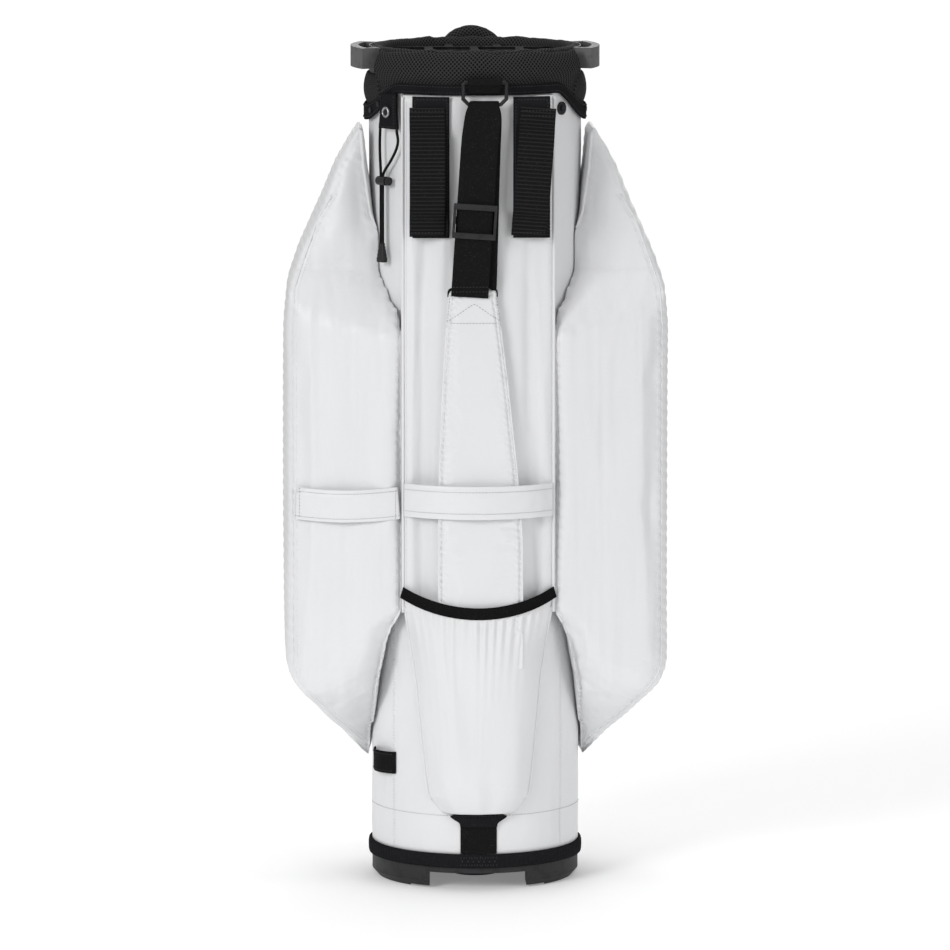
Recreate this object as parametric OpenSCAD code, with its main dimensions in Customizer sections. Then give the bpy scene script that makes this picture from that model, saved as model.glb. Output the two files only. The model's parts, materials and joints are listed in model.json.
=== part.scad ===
// Golf staff bag for a cart: a stiff tube in a moulded base and collar, with full-length club
// dividers, a padded rear panel, a shoulder strap on a ring, and zipped pockets on three sides.
// Millimetres. +Z is up, the origin is the centre of the base on the floor, and the side that
// carries the shoulder strap faces -Y.

/* [Body] */
// Height from the floor to the top of the front grip
bag_h = 912; // [760:1:1100]
// Outer radius of the stiff inner tube
tube_r = 106; // [88:0.5:128]
// Wall of the inner tube
tube_wall = 2; // [1.5:0.5:3]
// Thickness of the padded cover at its top
cover_t = 7.1; // [5:0.1:12]
// Thickness of the padded lower skirt
skirt_t = 5.2; // [4:0.1:8]
// Height at which the skirt meets the upper cover
waist_z = 330; // [300:1:380]
// Half width of the padded rear panel
panel_half_w = 80; // [72:1:90]
// Radius of the rear panel's gentle crown
panel_crown_r = 210; // [180:5:260]

/* [Base] */
// Height of the moulded base
base_h = 38; // [30:1:50]
// Height of the feet
foot_h = 16; // [12:1:22]
// Radial width of the feet
foot_w = 33; // [24:1:38]
// Width of the notch between the feet
notch_w = 104; // [84:1:120]
// Thickness of the base floor
floor_t = 8; // [5:1:10]
// Height of the binding band over the base joint
base_band_h = 15; // [10:1:18]
// Thickness of the foam disc that the clubs stand on
liner_t = 9; // [6:1:12]

/* [Collar] */
// Height of the collar pad
collar_h = 41; // [36:1:50]
// Drop from the grip's top to the moulded rim
rim_drop = 16; // [14:1:24]
// Radial thickness of the moulded rim
rim_t = 13.5; // [11:0.5:16]
// Height of the moulded rim
rim_h = 28; // [22:1:32]
// Height of the collar binding
collar_band_h = 12; // [8:1:16]
// Outer radius of the front grip's arch
grip_r = 39.7; // [36:0.1:46]
// Radius of the grip's own section
grip_section_r = 8.7; // [7:0.1:11]
// Reach of the side handles past the rim
handle_reach = 20; // [18:1:26]

/* [Dividers] */
// Thickness of the full-length divider walls
divider_t = 2; // [1.5:0.5:3]
// Width of the moulded divider bars
bar_w = 9; // [7:1:11]
// Height of the moulded divider bars
bar_h = 14; // [10:1:18]

/* [Shoulder strap] */
// Width of the strap webbing
webbing_w = 40; // [36:1:44]
// Thickness of the webbing
webbing_t = 1.9; // [1.5:0.1:2.4]
// Wire diameter of the strap ring
ring_wire = 4; // [3:0.5:5]
// Height of the ring between bar centres
ring_drop = 23.4; // [20:0.1:28]
// Lean of the front webbing from vertical, in degrees
webbing_lean = 3.8; // [0:0.1:5]
// Thickness of the strap pad
pad_t = 8; // [6:0.5:9]
// Width of the strap pad at its foot
pad_w = 96; // [84:1:104]
// Height of the slider buckle
slider_h = 36.7; // [32:0.1:42]

/* [Rear pocket] */
// Height of the rear pocket's mouth at the seams
mouth_z = 311; // [290:1:325]
// Height of the rear pocket's floor
pocket_floor_z = 84; // [76:1:100]
// Inner radius of the rear pocket's front wall
pocket_r = 134; // [130:0.5:140]

/* [Loops and bands] */
// Width of the two cart-strap loops
loop_w = 38; // [34:1:42]
// Length of the two cart-strap loops
loop_l = 137; // [120:1:150]
// Gap behind the cart-strap loops
loop_gap = 8; // [6:0.5:12]
// Width of the strap keeper and of the cart-strap sleeve
band_w = 36; // [30:1:42]

/* [Side pockets] */
// Half width of the bag over its side pockets
side_half_w = 203.5; // [180:0.5:230]
// Half depth of the side pockets at their outer face
side_half_d = 68; // [56:1:80]
// Wall of every pocket
pocket_wall = 2.5; // [2:0.5:4]
// Length of the side zips
side_zip_l = 340; // [260:5:360]

/* [Front pockets] */
// Reach of the ball pocket from the bag's axis
ball_reach = 190; // [170:1:220]
// Reach of the upper pocket from the bag's axis
upper_reach = 168; // [150:1:185]
// Length of the front zips
front_zip_l = 210; // [160:5:240]

/* [Umbrella cord] */
// Diameter of the stretch cord
cord_d = 3; // [2.5:0.1:4]
// Distance from the rear panel's edge to the cord tab
tab_to_panel = 3.74; // [2:0.01:12]
// Width of the cord tab at its foot
tab_w = 30; // [26:1:34]

/* [Hidden] */
$fn = 96;

gap = 0.3; // clearance between pieces that sit on each other
big = 600; // longer than any piece, for cutting tools

// heights
rim_z = bag_h - rim_drop;
frame_z = rim_z - rim_h;
collar_z = rim_z - collar_h;
floor_top = foot_h + floor_t;
liner_top = floor_top + gap + liner_t;
base_band_z = base_h - base_band_h + 1.3;
frame_sleeve = 20;

// radii from the axis outwards
tube_in = tube_r - tube_wall;
cover_r = tube_r + gap + cover_t;
skirt_r = tube_r + gap + skirt_t;
frame_in = tube_in - gap - 3.7;
frame_r = frame_in + rim_t;
collar_pad_r = max(frame_r, cover_r) + gap;
collar_foot_r = collar_pad_r + 3.7;
collar_bulge_r = collar_foot_r + 6.5;
collar_band_r = collar_foot_r + gap + 1.8;
panel_y = cover_r + gap + 3.8; // the rear panel's face on the centre line
panel_centre_y = panel_crown_r - panel_y;

// the strap's stack, as distances behind the axis
pad_in_r = panel_crown_r + 2;
pad_out_r = pad_in_r + pad_t;
bend_in = ring_wire / 2 + gap;
bend_out = bend_in + webbing_t;
ring_y = panel_y + 2 + pad_t + 0.8 - bend_in + 2.5;
ring_top_z = collar_z + 14;
ring_low_z = ring_top_z - ring_drop;
ring_x = 5.8;
ring_half_w = webbing_w / 2 + gap + ring_wire / 2 + 0.5;
ring_cut = 6; // the ring's cut lower corners
webbing_top_x = 3.3;
pad_top_z = collar_z - 205;
pad_foot_z = mouth_z - 71;
slider_z = collar_z - 133;
slider_half_w = webbing_w / 2 + gap + 2.7;
tail_z = pad_top_z - 9;

// zips
tape_w = 28;
tape_t = 0.8;
coil_w = 6;
coil_h = 2.2;
zip_head = 6; // closed end of a zip above its slider
zip_slider_l = 16;
zip_slider_w = 11;
zip_slider_t = 4.5;
pull_pin_y = 6.6;
pull_pin_z = 12;
pull_pin_r = 1.1;
pull_l = 34;
side_zip_x = 150;
side_zip_top = collar_z - 253;
front_zip_x = 48;
ball_foot_z = 120;
ball_top_z = 420;
upper_foot_z = ball_top_z + 30;
upper_top_z = collar_z - 75;

// umbrella cord, in the tab's own frame: x along the tab, y out from the axis, z up
tab_r = collar_band_r + gap;
tab_angle = asin((panel_half_w + tab_to_panel) / norm([tab_w / 2, tab_r]))
  + atan(tab_w / 2 / tab_r);
tab_foot_z = collar_z - 39;
cord_run = 1.6; // half the distance between the two strands below the lock
cord_y = tab_r + 2;
lock_z = tab_foot_z - 56;
cord_end_top = lock_z - 67;
lock_x = -11;
lock_bore_r = cord_d / 2 + gap;
left_route = [
  [-13.5, 0], [-13.5, -3], [-14.0, -9], [-14.2, -16], [-14.1, -24], [-13.8, -31], [-13.3, -38],
  [-12.8, -44], [-12.6, -50], [-12.6, -57], [-12.6, -66], [-12.6, -76], [-12.6, -86],
  [-12.6, -96], [-12.6, -106], [-12.6, -115], [-12.6, -123]
];
right_route = [
  [13.5, 0], [13.5, -3], [15.4, -8], [15.8, -13], [14.0, -19], [10.5, -25], [6.0, -31],
  [1.2, -37], [-3.8, -42], [-7.6, -46.5], [-9.4, -51], [-9.4, -57], [-9.4, -66], [-9.4, -76],
  [-9.4, -86], [-9.4, -96], [-9.4, -106], [-9.4, -115], [-9.4, -123]
];

// ---- shared shapes ----

// a round pipe standing on z
module pipe(r_in, r_out, z_low, z_high) {
  translate([0, 0, z_low])
    linear_extrude(z_high - z_low) difference() {
      circle(r_out);
      circle(r_in);
    }
}

// everything behind the axis whose outline in x and z is the given polygon
module rear_prism(points, y_from = 0, depth = big) {
  translate([0, -y_from, 0]) rotate([90, 0, 0]) linear_extrude(depth) polygon(points);
}

// a wedge of the plan between two angles, counted from the rear towards +X
module wedge(from, to, z_low, z_high) {
  mid = (from + to) / 2;
  translate([0, 0, z_low]) linear_extrude(z_high - z_low)
    polygon([
      [0, 0], [big * sin(from), -big * cos(from)], [1.2 * big * sin(mid), -1.2 * big * cos(mid)],
      [big * sin(to), -big * cos(to)]
    ]);
}

// a band that stands off a flat face by `bow` at its middle; x along the face, -y outwards
module bow_band(chord, bow, t, w) {
  r = (chord * chord / 4 + bow * bow) / (2 * bow);
  linear_extrude(w) intersection() {
    translate([0, r - bow]) difference() {
      circle(r + t, $fn = 180);
      circle(r, $fn = 180);
    }
    translate([-chord / 2, -bow - t - 1]) square([chord, bow + t + 1]);
  }
}

// the crowned solid behind the rear panel's own circle of radius r
module crowned(r, z_low, z_high) {
  translate([0, panel_centre_y, z_low]) cylinder(h = z_high - z_low, r = r, $fn = 180);
}

// ---- base ----

module base_tub() {
  foot_in = skirt_r - foot_w;
  notch_y = sqrt(foot_in * foot_in - notch_w * notch_w / 4) - 2;
  chamfer = 6;
  color("#2b2b2c") difference() {
    union() {
      rotate_extrude() polygon([
        [0, foot_h], [skirt_r, foot_h], [skirt_r, base_h], [tube_r + gap, base_h],
        [tube_r + gap, floor_top], [0, floor_top]
      ]);
      rotate_extrude() polygon([
        [foot_in, 0], [skirt_r - chamfer, 0], [skirt_r, chamfer + 1], [skirt_r, foot_h + 1],
        [foot_in, foot_h + 1]
      ]);
      cylinder(h = foot_h + 1, r = 25);
    }
    for (side = [-1, 1]) translate([0, side * (notch_y + big / 2), 0]) {
      translate([-notch_w / 2, -big / 2, -1]) cube([notch_w, big, foot_h + 3]);
      translate([-notch_w / 2 - 20, -big / 2, -1]) cube([notch_w + 40, big, 3]);
    }
  }
}

module base_binding() {
  color("#161616")
    pipe(skirt_r + gap, skirt_r + gap + 3.7, base_band_z, base_band_z + base_band_h);
}

module base_liner() {
  color("#3a3a3a") translate([0, 0, floor_top + gap]) cylinder(h = liner_t, r = tube_in - gap);
}

// ---- tube and covers ----

module body_tube() {
  color("#1c1c1c") pipe(tube_in, tube_r, floor_top + gap, frame_z - gap);
}

module cover_solid(grow) {
  rotate_extrude() polygon([
    [0, waist_z + gap - grow], [skirt_r + grow, waist_z + gap - grow],
    [cover_r + grow, collar_z - 1.5], [cover_r + grow, frame_z - gap + grow],
    [0, frame_z - gap + grow]
  ]);
}

// the covers' outside, with a clearance, for what is sewn against them
module covered() {
  cover_solid(gap);
  cylinder(h = waist_z + 1, r = skirt_r + gap);
}

module body_cover() {
  color("white") difference() {
    cover_solid(0);
    translate([0, 0, waist_z - 1]) cylinder(h = big * 2, r = tube_r + gap);
  }
}

module lower_skirt() {
  color("white") pipe(tube_r + gap, skirt_r, base_h + gap, waist_z);
}

stay_x = panel_half_w - 12;
stay_y = panel_y - 18.5;
stay_r = 3.5;

module rear_panel() {
  panel_top = collar_z - 1.5;
  color("white") difference() {
    intersection() {
      crowned(panel_crown_r, waist_z + gap, panel_top);
      translate([-panel_half_w, -big, 0]) cube([2 * panel_half_w, big - 40, big * 2]);
    }
    covered();
    for (side = [-1, 1]) translate([side * stay_x, -stay_y, waist_z + 8])
      cylinder(h = panel_top - waist_z - 16, r = stay_r + gap);
  }
}

module spine_stays() {
  color("silver") for (side = [-1, 1]) translate([side * stay_x, -stay_y, waist_z + 8 + gap])
    cylinder(h = collar_z - 1.5 - waist_z - 16 - 2 * gap, r = stay_r);
}

// ---- collar ----

handle_t = 8.5;
handle_angle = 24;
handle_z = rim_z - 18;
handle_h = 22;
grip_y = frame_r + grip_section_r + gap;
grip_foot_z = bag_h - grip_r;

module handle_bar(side) {
  out = frame_r + handle_reach;
  intersection() {
    difference() {
      pipe(frame_r - 1, out, handle_z, handle_z + handle_h);
      intersection() {
        pipe(frame_r, out - handle_t, handle_z - 1, handle_z + handle_h + 1);
        wedge(side * 90 - handle_angle + 4, side * 90 + handle_angle - 4, 0, big * 2);
      }
    }
    wedge(side * 90 - handle_angle, side * 90 + handle_angle, 0, big * 2);
  }
}

module collar_frame() {
  color("#3a3a3c") union() {
    pipe(frame_in, frame_r, frame_z, rim_z);
    pipe(frame_in, tube_in - gap, frame_z - frame_sleeve, frame_z + 1);
    for (side = [-1, 1]) handle_bar(side);
    difference() {
      translate([-grip_r - 5, 0, grip_foot_z - gap - 4])
        cube([2 * grip_r + 10, grip_y + grip_section_r + 1, 4]);
      translate([0, 0, 0]) cylinder(h = big * 2, r = frame_in + 1);
    }
  }
}

module collar_pad() {
  notch_low = handle_z - 5;
  color("#1a1a1a") difference() {
    rotate_extrude() polygon([
      [collar_pad_r, collar_z], [collar_foot_r, collar_z],
      [collar_foot_r, collar_z + collar_band_h - 1 + gap], [collar_bulge_r, collar_z + 25],
      [collar_bulge_r - 3, collar_z + 38], [collar_pad_r + 1.5, collar_z + 44],
      [collar_pad_r, collar_z + 44]
    ]);
    for (side = [-1, 1]) translate([side * frame_r, 0, notch_low + big / 2])
      cube([2 * 60, 2 * 60, big], center = true);
    translate([-grip_r - 7, 0, grip_foot_z - gap * 2 - 4]) cube([2 * grip_r + 14, big, big]);
  }
}

binding_drop = 35; // how far the binding falls at the sides

module collar_binding() {
  start = panel_half_w + 5;
  end = collar_band_r + 0.4;
  color("#161616") union() {
    pipe(collar_foot_r + gap, collar_band_r, collar_z - 1, collar_z + collar_band_h - 1);
    for (side = [-1, 1]) intersection() {
      pipe(collar_foot_r + gap, collar_band_r, collar_z - binding_drop, collar_z);
      translate([0, big / 2, 0]) rotate([90, 0, 0]) linear_extrude(big) polygon([
        [side * start, collar_z], [side * start, collar_z - 1],
        [side * end, collar_z - binding_drop],
        [side * big, collar_z - binding_drop], [side * big, collar_z]
      ]);
    }
  }
}

module collar_rivets() {
  // angle from the rear, drop below the collar
  places = [[-tab_angle - 10, 14], [-tab_angle - 19, 22], [78, 22]];
  color("#6e6e70") for (p = places) rotate([0, 0, p[0]])
    translate([0, -collar_band_r - gap / 2, collar_z - p[1]]) rotate([90, 0, 0])
      cylinder(h = 1.6, r = 3);
}

module front_grip() {
  color("#1a1a1a") translate([0, grip_y, grip_foot_z]) rotate([90, 0, 0])
    rotate_extrude(angle = 180) translate([grip_r - grip_section_r, 0]) circle(grip_section_r);
}

// ---- club dividers: rows of 3, 4, 4 and 3 wells ----

row = tube_in / 2;
col = 0.94 * row;
end_r = frame_in - gap;

// one straight wall or bar between two ends, thickness t, standing on z
module plate_x(y, t, z_low, h) {
  half = sqrt(end_r * end_r - pow(abs(y) + t / 2, 2));
  translate([-half, y - t / 2, z_low]) cube([2 * half, t, h]);
}

module plate_y(x, y_in, t, z_low, h, outer) {
  y_out = outer ? sqrt(end_r * end_r - pow(abs(x) + t / 2, 2)) : row - t / 2 - gap;
  for (side = [-1, 1]) translate([x - t / 2, side > 0 ? y_in : -y_out, z_low])
    cube([t, y_out - y_in, h]);
}

module club_grid(t, z_low, h) {
  for (y = [-row, 0, row]) plate_x(y, t, z_low, h);
  for (x = [-col, 0, col]) plate_y(x, t / 2 + gap, t, z_low, h, false);
  for (x = [-col / 2, col / 2]) plate_y(x * 1.06, row + t / 2 + gap, t, z_low, h, true);
}

module divider_grid() {
  color("#1a1a1a") club_grid(bar_w, rim_z - 2 - bar_h, bar_h);
}

module divider_walls() {
  low = liner_top + gap;
  color("#444444") club_grid(divider_t, low, rim_z - 2 - bar_h - gap - low);
}

// ---- strap ring and shoulder strap ----

module ring_loop() {
  half = webbing_w / 2 - 1.5;
  color("#161616") translate([ring_x - half, 0, 0]) difference() {
    union() {
      translate([0, -ring_y, ring_top_z]) rotate([0, 90, 0]) cylinder(h = 2 * half, r = bend_out);
      translate([0, -ring_y + bend_in, collar_z + 1])
        cube([2 * half, ring_y - bend_in - collar_band_r - gap, ring_top_z - collar_z - 4]);
    }
    translate([-1, -ring_y, ring_top_z]) rotate([0, 90, 0])
      cylinder(h = 2 * half + 2, r = bend_in);
  }
}

// a straight round wire between two points in the ring's plane
module wire(a, b) {
  d = b - a;
  translate([a[0], 0, a[1]]) rotate([0, 90 - atan2(d[1], d[0]), 0])
    cylinder(h = norm(d), r = ring_wire / 2);
}

module strap_ring() {
  cut = ring_cut;
  h = ring_drop;
  w = ring_half_w;
  points = [
    [-w + 2, h], [w - 2, h], [w, h - 2], [w, cut], [w - cut, 0], [-w + cut, 0], [-w, cut],
    [-w, h - 2]
  ];
  color("#2a2a2a") translate([ring_x, -ring_y, ring_low_z]) union()
    for (i = [0 : len(points) - 1]) {
      wire(points[i], points[(i + 1) % len(points)]);
      translate([points[i][0], 0, points[i][1]]) sphere(ring_wire / 2);
    }
}

// centre of the front webbing at a height
function lean_x(z) = webbing_top_x - (ring_low_z - z) * tan(webbing_lean);

bend_w = 2 * (ring_half_w - ring_cut - 1); // the fold round the lower bar is bunched a little

module strap_webbing() {
  color("#121212") union() {
    intersection() {
      translate([ring_x - bend_w / 2, -ring_y, ring_low_z]) rotate([0, 90, 0]) difference() {
        cylinder(h = bend_w, r = bend_out);
        translate([0, 0, -1]) cylinder(h = bend_w + 2, r = bend_in);
      }
      translate([-big / 2, -big, ring_low_z]) cube([big, big, 20]);
    }
    rear_prism([
      [ring_x - bend_w / 2, ring_low_z], [ring_x + bend_w / 2, ring_low_z],
      [lean_x(ring_low_z - 12) + webbing_w / 2, ring_low_z - 12],
      [lean_x(tail_z) + webbing_w / 2 - 1, tail_z], [lean_x(tail_z) - webbing_w / 2 + 1, tail_z],
      [lean_x(ring_low_z - 12) - webbing_w / 2, ring_low_z - 12]
    ], ring_y + bend_in, webbing_t);
    rear_prism([
      [ring_x - bend_w / 2, ring_low_z], [ring_x + bend_w / 2, ring_low_z],
      [webbing_top_x + webbing_w / 2, ring_low_z - 12], [18.8, pad_top_z],
      [18.8 - webbing_w, pad_top_z], [webbing_top_x - webbing_w / 2, ring_low_z - 12]
    ], ring_y - bend_out, webbing_t);
  }
}

module strap_slider() {
  h = slider_h / 2;
  w = slider_half_w;
  face = ring_y + bend_out + gap; // just outside the front webbing
  color("#1d1d1d") translate([lean_x(slider_z), 0, slider_z]) rotate([0, webbing_lean, 0])
    union() {
      difference() {
        translate([-w, -face - 3.4, -h]) cube([2 * w, 3.4, 2 * h]);
        translate([-webbing_w / 2 - gap, -face - 4.4, -h + 6])
          cube([webbing_w + 2 * gap, 5.4, 2 * h - 12]);
      }
      for (side = [-1, 1]) translate([side > 0 ? w - 2.4 : -w, -face - 1, -h + 3])
        cube([2.4, webbing_t + 2 * gap + 1 + 3.2, 2 * h - 6]);
      translate([-w, -ring_y - bend_in + gap, -4]) cube([2 * w, 3.2, 8]);
    }
}

module strap_pad() {
  top = pad_top_z;
  foot = pad_foot_z;
  color("#f2f2f2") intersection() {
    difference() {
      crowned(pad_out_r, foot, top);
      crowned(pad_in_r, foot - 1, top + 1);
    }
    rear_prism([
      [-32.8, top], [19.2, top], [24.5, top - 35], [33.7, top - 107], [43, top - 191],
      [1.8 + pad_w / 2, top - 270 > foot ? top - 270 : foot + 30], [1.8 + pad_w / 2, foot],
      [1.8 - pad_w / 2, foot], [1.8 - pad_w / 2, top - 270 > foot ? top - 270 : foot + 30],
      [-45.2, top - 191], [-41.3, top - 107], [-36.5, top - 35]
    ]);
  }
}

module strap_lower_webbing() {
  half = webbing_w / 2 - 0.4;
  top = pad_foot_z - 5;
  color("#121212") intersection() {
    pipe(skirt_r + gap, skirt_r + gap + webbing_t, base_band_z + base_band_h, top);
    rear_prism([[-half, 0], [half, 0], [half, top], [-half, top]]);
  }
}

// ---- loops and bands on the rear ----

backing_y = panel_y - 0.5;
backing_half_w = 19.5;
left_loop_x = -54.7;
right_loop_x = 58;
right_loop_lean = 4.2;
loop_top_z = collar_z - 13;

module loop_backing(x) {
  color("#161616") difference() {
    translate([x - backing_half_w, -backing_y - 2, loop_top_z - loop_l - 2])
      cube([2 * backing_half_w, 30, loop_l + 13]);
    crowned(panel_crown_r + gap, 0, big * 2);
  }
}

module loop_backing_left() { loop_backing(left_loop_x + 4); }

module loop_backing_right() { loop_backing(right_loop_x - 2); }

// webbing sewn down at both ends, with a straight run that stands off its backing
module cart_loop() {
  tab = 16;
  rise = 14;
  t = webbing_t;
  color("#151515") translate([-loop_w / 2, -backing_y - 2 - gap, -loop_l / 2])
    rotate([90, 0, 90]) linear_extrude(loop_w) polygon([
      [0, 0], [0, tab], [-loop_gap, tab + rise], [-loop_gap, loop_l - tab - rise],
      [0, loop_l - tab], [0, loop_l], [-t, loop_l], [-t, loop_l - tab + 0.7],
      [-loop_gap - t, loop_l - tab - rise], [-loop_gap - t, tab + rise], [-t, tab - 0.7], [-t, 0]
    ]);
}

module cart_loop_left() {
  translate([left_loop_x, 0, loop_top_z - loop_l / 2]) cart_loop();
}

module cart_loop_right() {
  translate([right_loop_x, 0, loop_top_z - loop_l / 2]) rotate([0, right_loop_lean, 0])
    cart_loop();
}

function panel_face(x) = sqrt(panel_crown_r * panel_crown_r - x * x) - panel_centre_y;

keeper_z = mouth_z + 93;

module strap_keeper() {
  half = panel_half_w - 0.5;
  color("white") translate([0, -panel_face(half) - gap, keeper_z])
    bow_band(2 * half, pad_t + 27, 1.8, band_w);
}

// ---- side pockets ----

side_rear_y = panel_face(panel_half_w) - 1;
side_inner_x = panel_half_w + gap;
side_top_z = collar_z - 36;
side_foot_z = 129;

// plan of a side pocket, taken in by t
module side_plan(t) {
  polygon([
    [side_inner_x - 30, -side_rear_y - 5 + t], [side_half_w - 7.5, -side_half_d - 8 + t],
    [side_half_w - t, -side_half_d + t / 2], [side_half_w - t, side_half_d - t / 2],
    [side_half_w - 7.5, side_half_d + 8 - t], [side_inner_x - 30, side_rear_y + 5 - t]
  ]);
}

// outline seen from the rear, taken in by t at its outside
module side_outline(t) {
  top = side_top_z;
  low = side_foot_z;
  w = side_half_w - t;
  polygon([
    [side_inner_x, mouth_z - 12], [side_inner_x, top - 180], [96, top - 135], [111, top - 95],
    [118, top - 45], [tube_r + 14.5, top - t], [tube_r + 18 - t / 2, top - t],
    [w - 56, top - 44 - t], [w - 40, top - 85 - t], [w - 16, top - 138 - t],
    [w - 4, top - 172], [w, top - 215], [w, low + 108], [w - 8, low + 90 + t],
    [w - 44, low + 48 + t], [skirt_r + 4, low + t], [skirt_r + gap, low + t],
    [108, low + 52], [105, low + 94], [96, low + 139], [88, low + 157]
  ]);
}

// outline seen from the side, taken in by t; the rear edge falls back above the waist of the
// scoop, where the umbrella cord hangs, and at the foot, where the umbrella loop stands
module side_profile(t) {
  top = side_top_z;
  low = side_foot_z;
  d = side_rear_y + 6 - t;
  polygon([
    [-42 + t, top - t], [d * 0.42, top - t], [d * 0.82, top - 110], [d, top - 190],
    [d, low + 130], [d * 0.8, low + 60], [d * 0.42, low + t], [-12, low + t], [-24 + t, low + 26],
    [-80 + t, low + 82], [-d, low + 140], [-d, top - 235], [-54 + t, top - 154]
  ]);
}

module side_solid(t) {
  intersection() {
    linear_extrude(big * 2) side_plan(t);
    translate([0, big / 2, 0]) rotate([90, 0, 0]) linear_extrude(big) side_outline(t);
    rotate([90, 0, 90]) linear_extrude(big) side_profile(t);
  }
}

module side_pocket_right() {
  color("white") difference() {
    side_solid(0);
    side_solid(pocket_wall);
    covered();
    translate([0, 0, collar_z - binding_drop - 1]) cylinder(h = big, r = collar_band_r + gap);
  }
}

module side_pocket_left() { mirror([1, 0, 0]) side_pocket_right(); }

sleeve_bow = 12;

module cart_strap_sleeve() {
  x_in = side_inner_x + 4;
  x_out = side_half_w - 9;
  // the pocket's rear face runs between these two points
  a = [side_inner_x - 30, side_rear_y + 5];
  b = [side_half_w - 7.5, side_half_d + 8];
  slope = atan2(a[1] - b[1], b[0] - a[0]);
  x_mid = (x_in + x_out) / 2;
  y_mid = a[1] - (x_mid - a[0]) * tan(slope);
  chord = (x_out - x_in) / cos(slope);
  color("white") translate([-x_mid, -y_mid, keeper_z - 6]) rotate([0, 0, -slope])
    translate([0, -gap, 0]) bow_band(chord, sleeve_bow, 1.6, band_w + 1);
}

// ---- zips; the track runs up z and faces -y, with the tape's back on y = 0 ----

module zip_track(l) {
  color("#141414") union() {
    translate([-tape_w / 2, -tape_t, 0]) cube([tape_w, tape_t, l]);
    translate([-coil_w / 2, -tape_t - coil_h, 0]) cube([coil_w, coil_h + 0.1, l]);
  }
}

// the slider stands with its foot at z = 0
module zip_slider() {
  color("#2c2c2e") translate([0, -tape_t, 0]) difference() {
    union() {
      translate([-zip_slider_w / 2, -zip_slider_t - gap, 0])
        cube([zip_slider_w, zip_slider_t, zip_slider_l]);
      translate([-1.5, -pull_pin_y - 1.7, pull_pin_z - 2.4])
        cube([3, pull_pin_y + 1.7 - zip_slider_t, 4.8]);
    }
    translate([-coil_w / 2 - gap, -coil_h - gap, -1])
      cube([coil_w + 2 * gap, coil_h + gap + 1, zip_slider_l + 2]);
    translate([-3, -pull_pin_y, pull_pin_z]) rotate([0, 90, 0])
      cylinder(h = 6, r = pull_pin_r + 0.1, $fn = 32);
  }
}

module zip_pull() {
  arm = 1.8;
  color("#1a1a1a") translate([0, -tape_t - pull_pin_y, pull_pin_z]) union() {
    translate([-3.3, 0, 0]) rotate([0, 90, 0]) cylinder(h = 6.6, r = pull_pin_r, $fn = 32);
    for (side = [-1, 1]) translate([side > 0 ? arm : -arm - 1.5, -1, -5]) cube([1.5, 2, 6]);
    translate([-4, -1, -pull_l]) cube([8, 2, pull_l - 3.4]);
  }
}

// puts a zip piece on a side pocket's slanting front face; side is -1 for the left
module on_side(side, z) {
  outer = [side_half_w - 7.5, side_half_d + 8];
  slope = atan2(side_rear_y + 5 - outer[1], outer[0] - side_inner_x + 30);
  translate([side * side_zip_x, outer[1] + (outer[0] - side_zip_x) * tan(slope), z])
    rotate([0, 0, 180 - side * slope]) translate([0, -gap, 0]) children();
}

// puts a zip piece on a front pocket's face
module on_front(reach, z) {
  translate([front_zip_x, reach + gap, z]) rotate([0, 0, 180]) children();
}

side_zip_low = side_zip_top - side_zip_l;
side_slider_z = side_zip_top - zip_head - zip_slider_l;
ball_zip_low = ball_top_z - 25 - front_zip_l;
ball_slider_z = ball_top_z - 25 - zip_head - zip_slider_l;
upper_zip_low = upper_top_z - 25 - front_zip_l;
upper_slider_z = upper_top_z - 25 - zip_head - zip_slider_l;

module side_zip_left() { on_side(-1, side_zip_low) zip_track(side_zip_l); }

module side_zip_right() { on_side(1, side_zip_low) zip_track(side_zip_l); }

module side_zip_slider_left() { on_side(-1, side_slider_z) zip_slider(); }

module side_zip_slider_right() { on_side(1, side_slider_z) zip_slider(); }

module side_zip_pull_left() { on_side(-1, side_slider_z) zip_pull(); }

module side_zip_pull_right() { on_side(1, side_slider_z) zip_pull(); }

module ball_zip() { on_front(ball_reach, ball_zip_low) zip_track(front_zip_l); }

module ball_zip_slider() { on_front(ball_reach, ball_slider_z) zip_slider(); }

module ball_zip_pull() { on_front(ball_reach, ball_slider_z) zip_pull(); }

module upper_zip() { on_front(upper_reach, upper_zip_low) zip_track(front_zip_l); }

module upper_zip_slider() { on_front(upper_reach, upper_slider_z) zip_slider(); }

module upper_zip_pull() { on_front(upper_reach, upper_slider_z) zip_pull(); }

// ---- front pockets ----

module front_pocket(reach, half_w, z_low, z_high) {
  bevel = 14;
  color("white") difference() {
    translate([0, 0, z_low]) linear_extrude(z_high - z_low) polygon([
      [-half_w, 60], [half_w, 60], [half_w, reach - bevel], [half_w - bevel, reach],
      [-half_w + bevel, reach], [-half_w, reach - bevel]
    ]);
    translate([0, 0, z_low + pocket_wall]) linear_extrude(z_high - z_low - 2 * pocket_wall)
      polygon([
        [-half_w + pocket_wall, 50], [half_w - pocket_wall, 50],
        [half_w - pocket_wall, reach - bevel - 1], [half_w - bevel - 1, reach - pocket_wall],
        [-half_w + bevel + 1, reach - pocket_wall], [-half_w + pocket_wall, reach - bevel - 1]
      ]);
    covered();
  }
}

module ball_pocket() { front_pocket(ball_reach, panel_half_w - 2, ball_foot_z, ball_top_z); }

module upper_pocket() {
  front_pocket(upper_reach, panel_half_w - 8, upper_foot_z, upper_top_z);
}

// ---- rear pocket ----

mouth_half_w = panel_half_w - 0.5;
sag = 16.7;
sag_r = (mouth_half_w * mouth_half_w + sag * sag) / (2 * sag);
elastic_h = 11;

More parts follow.
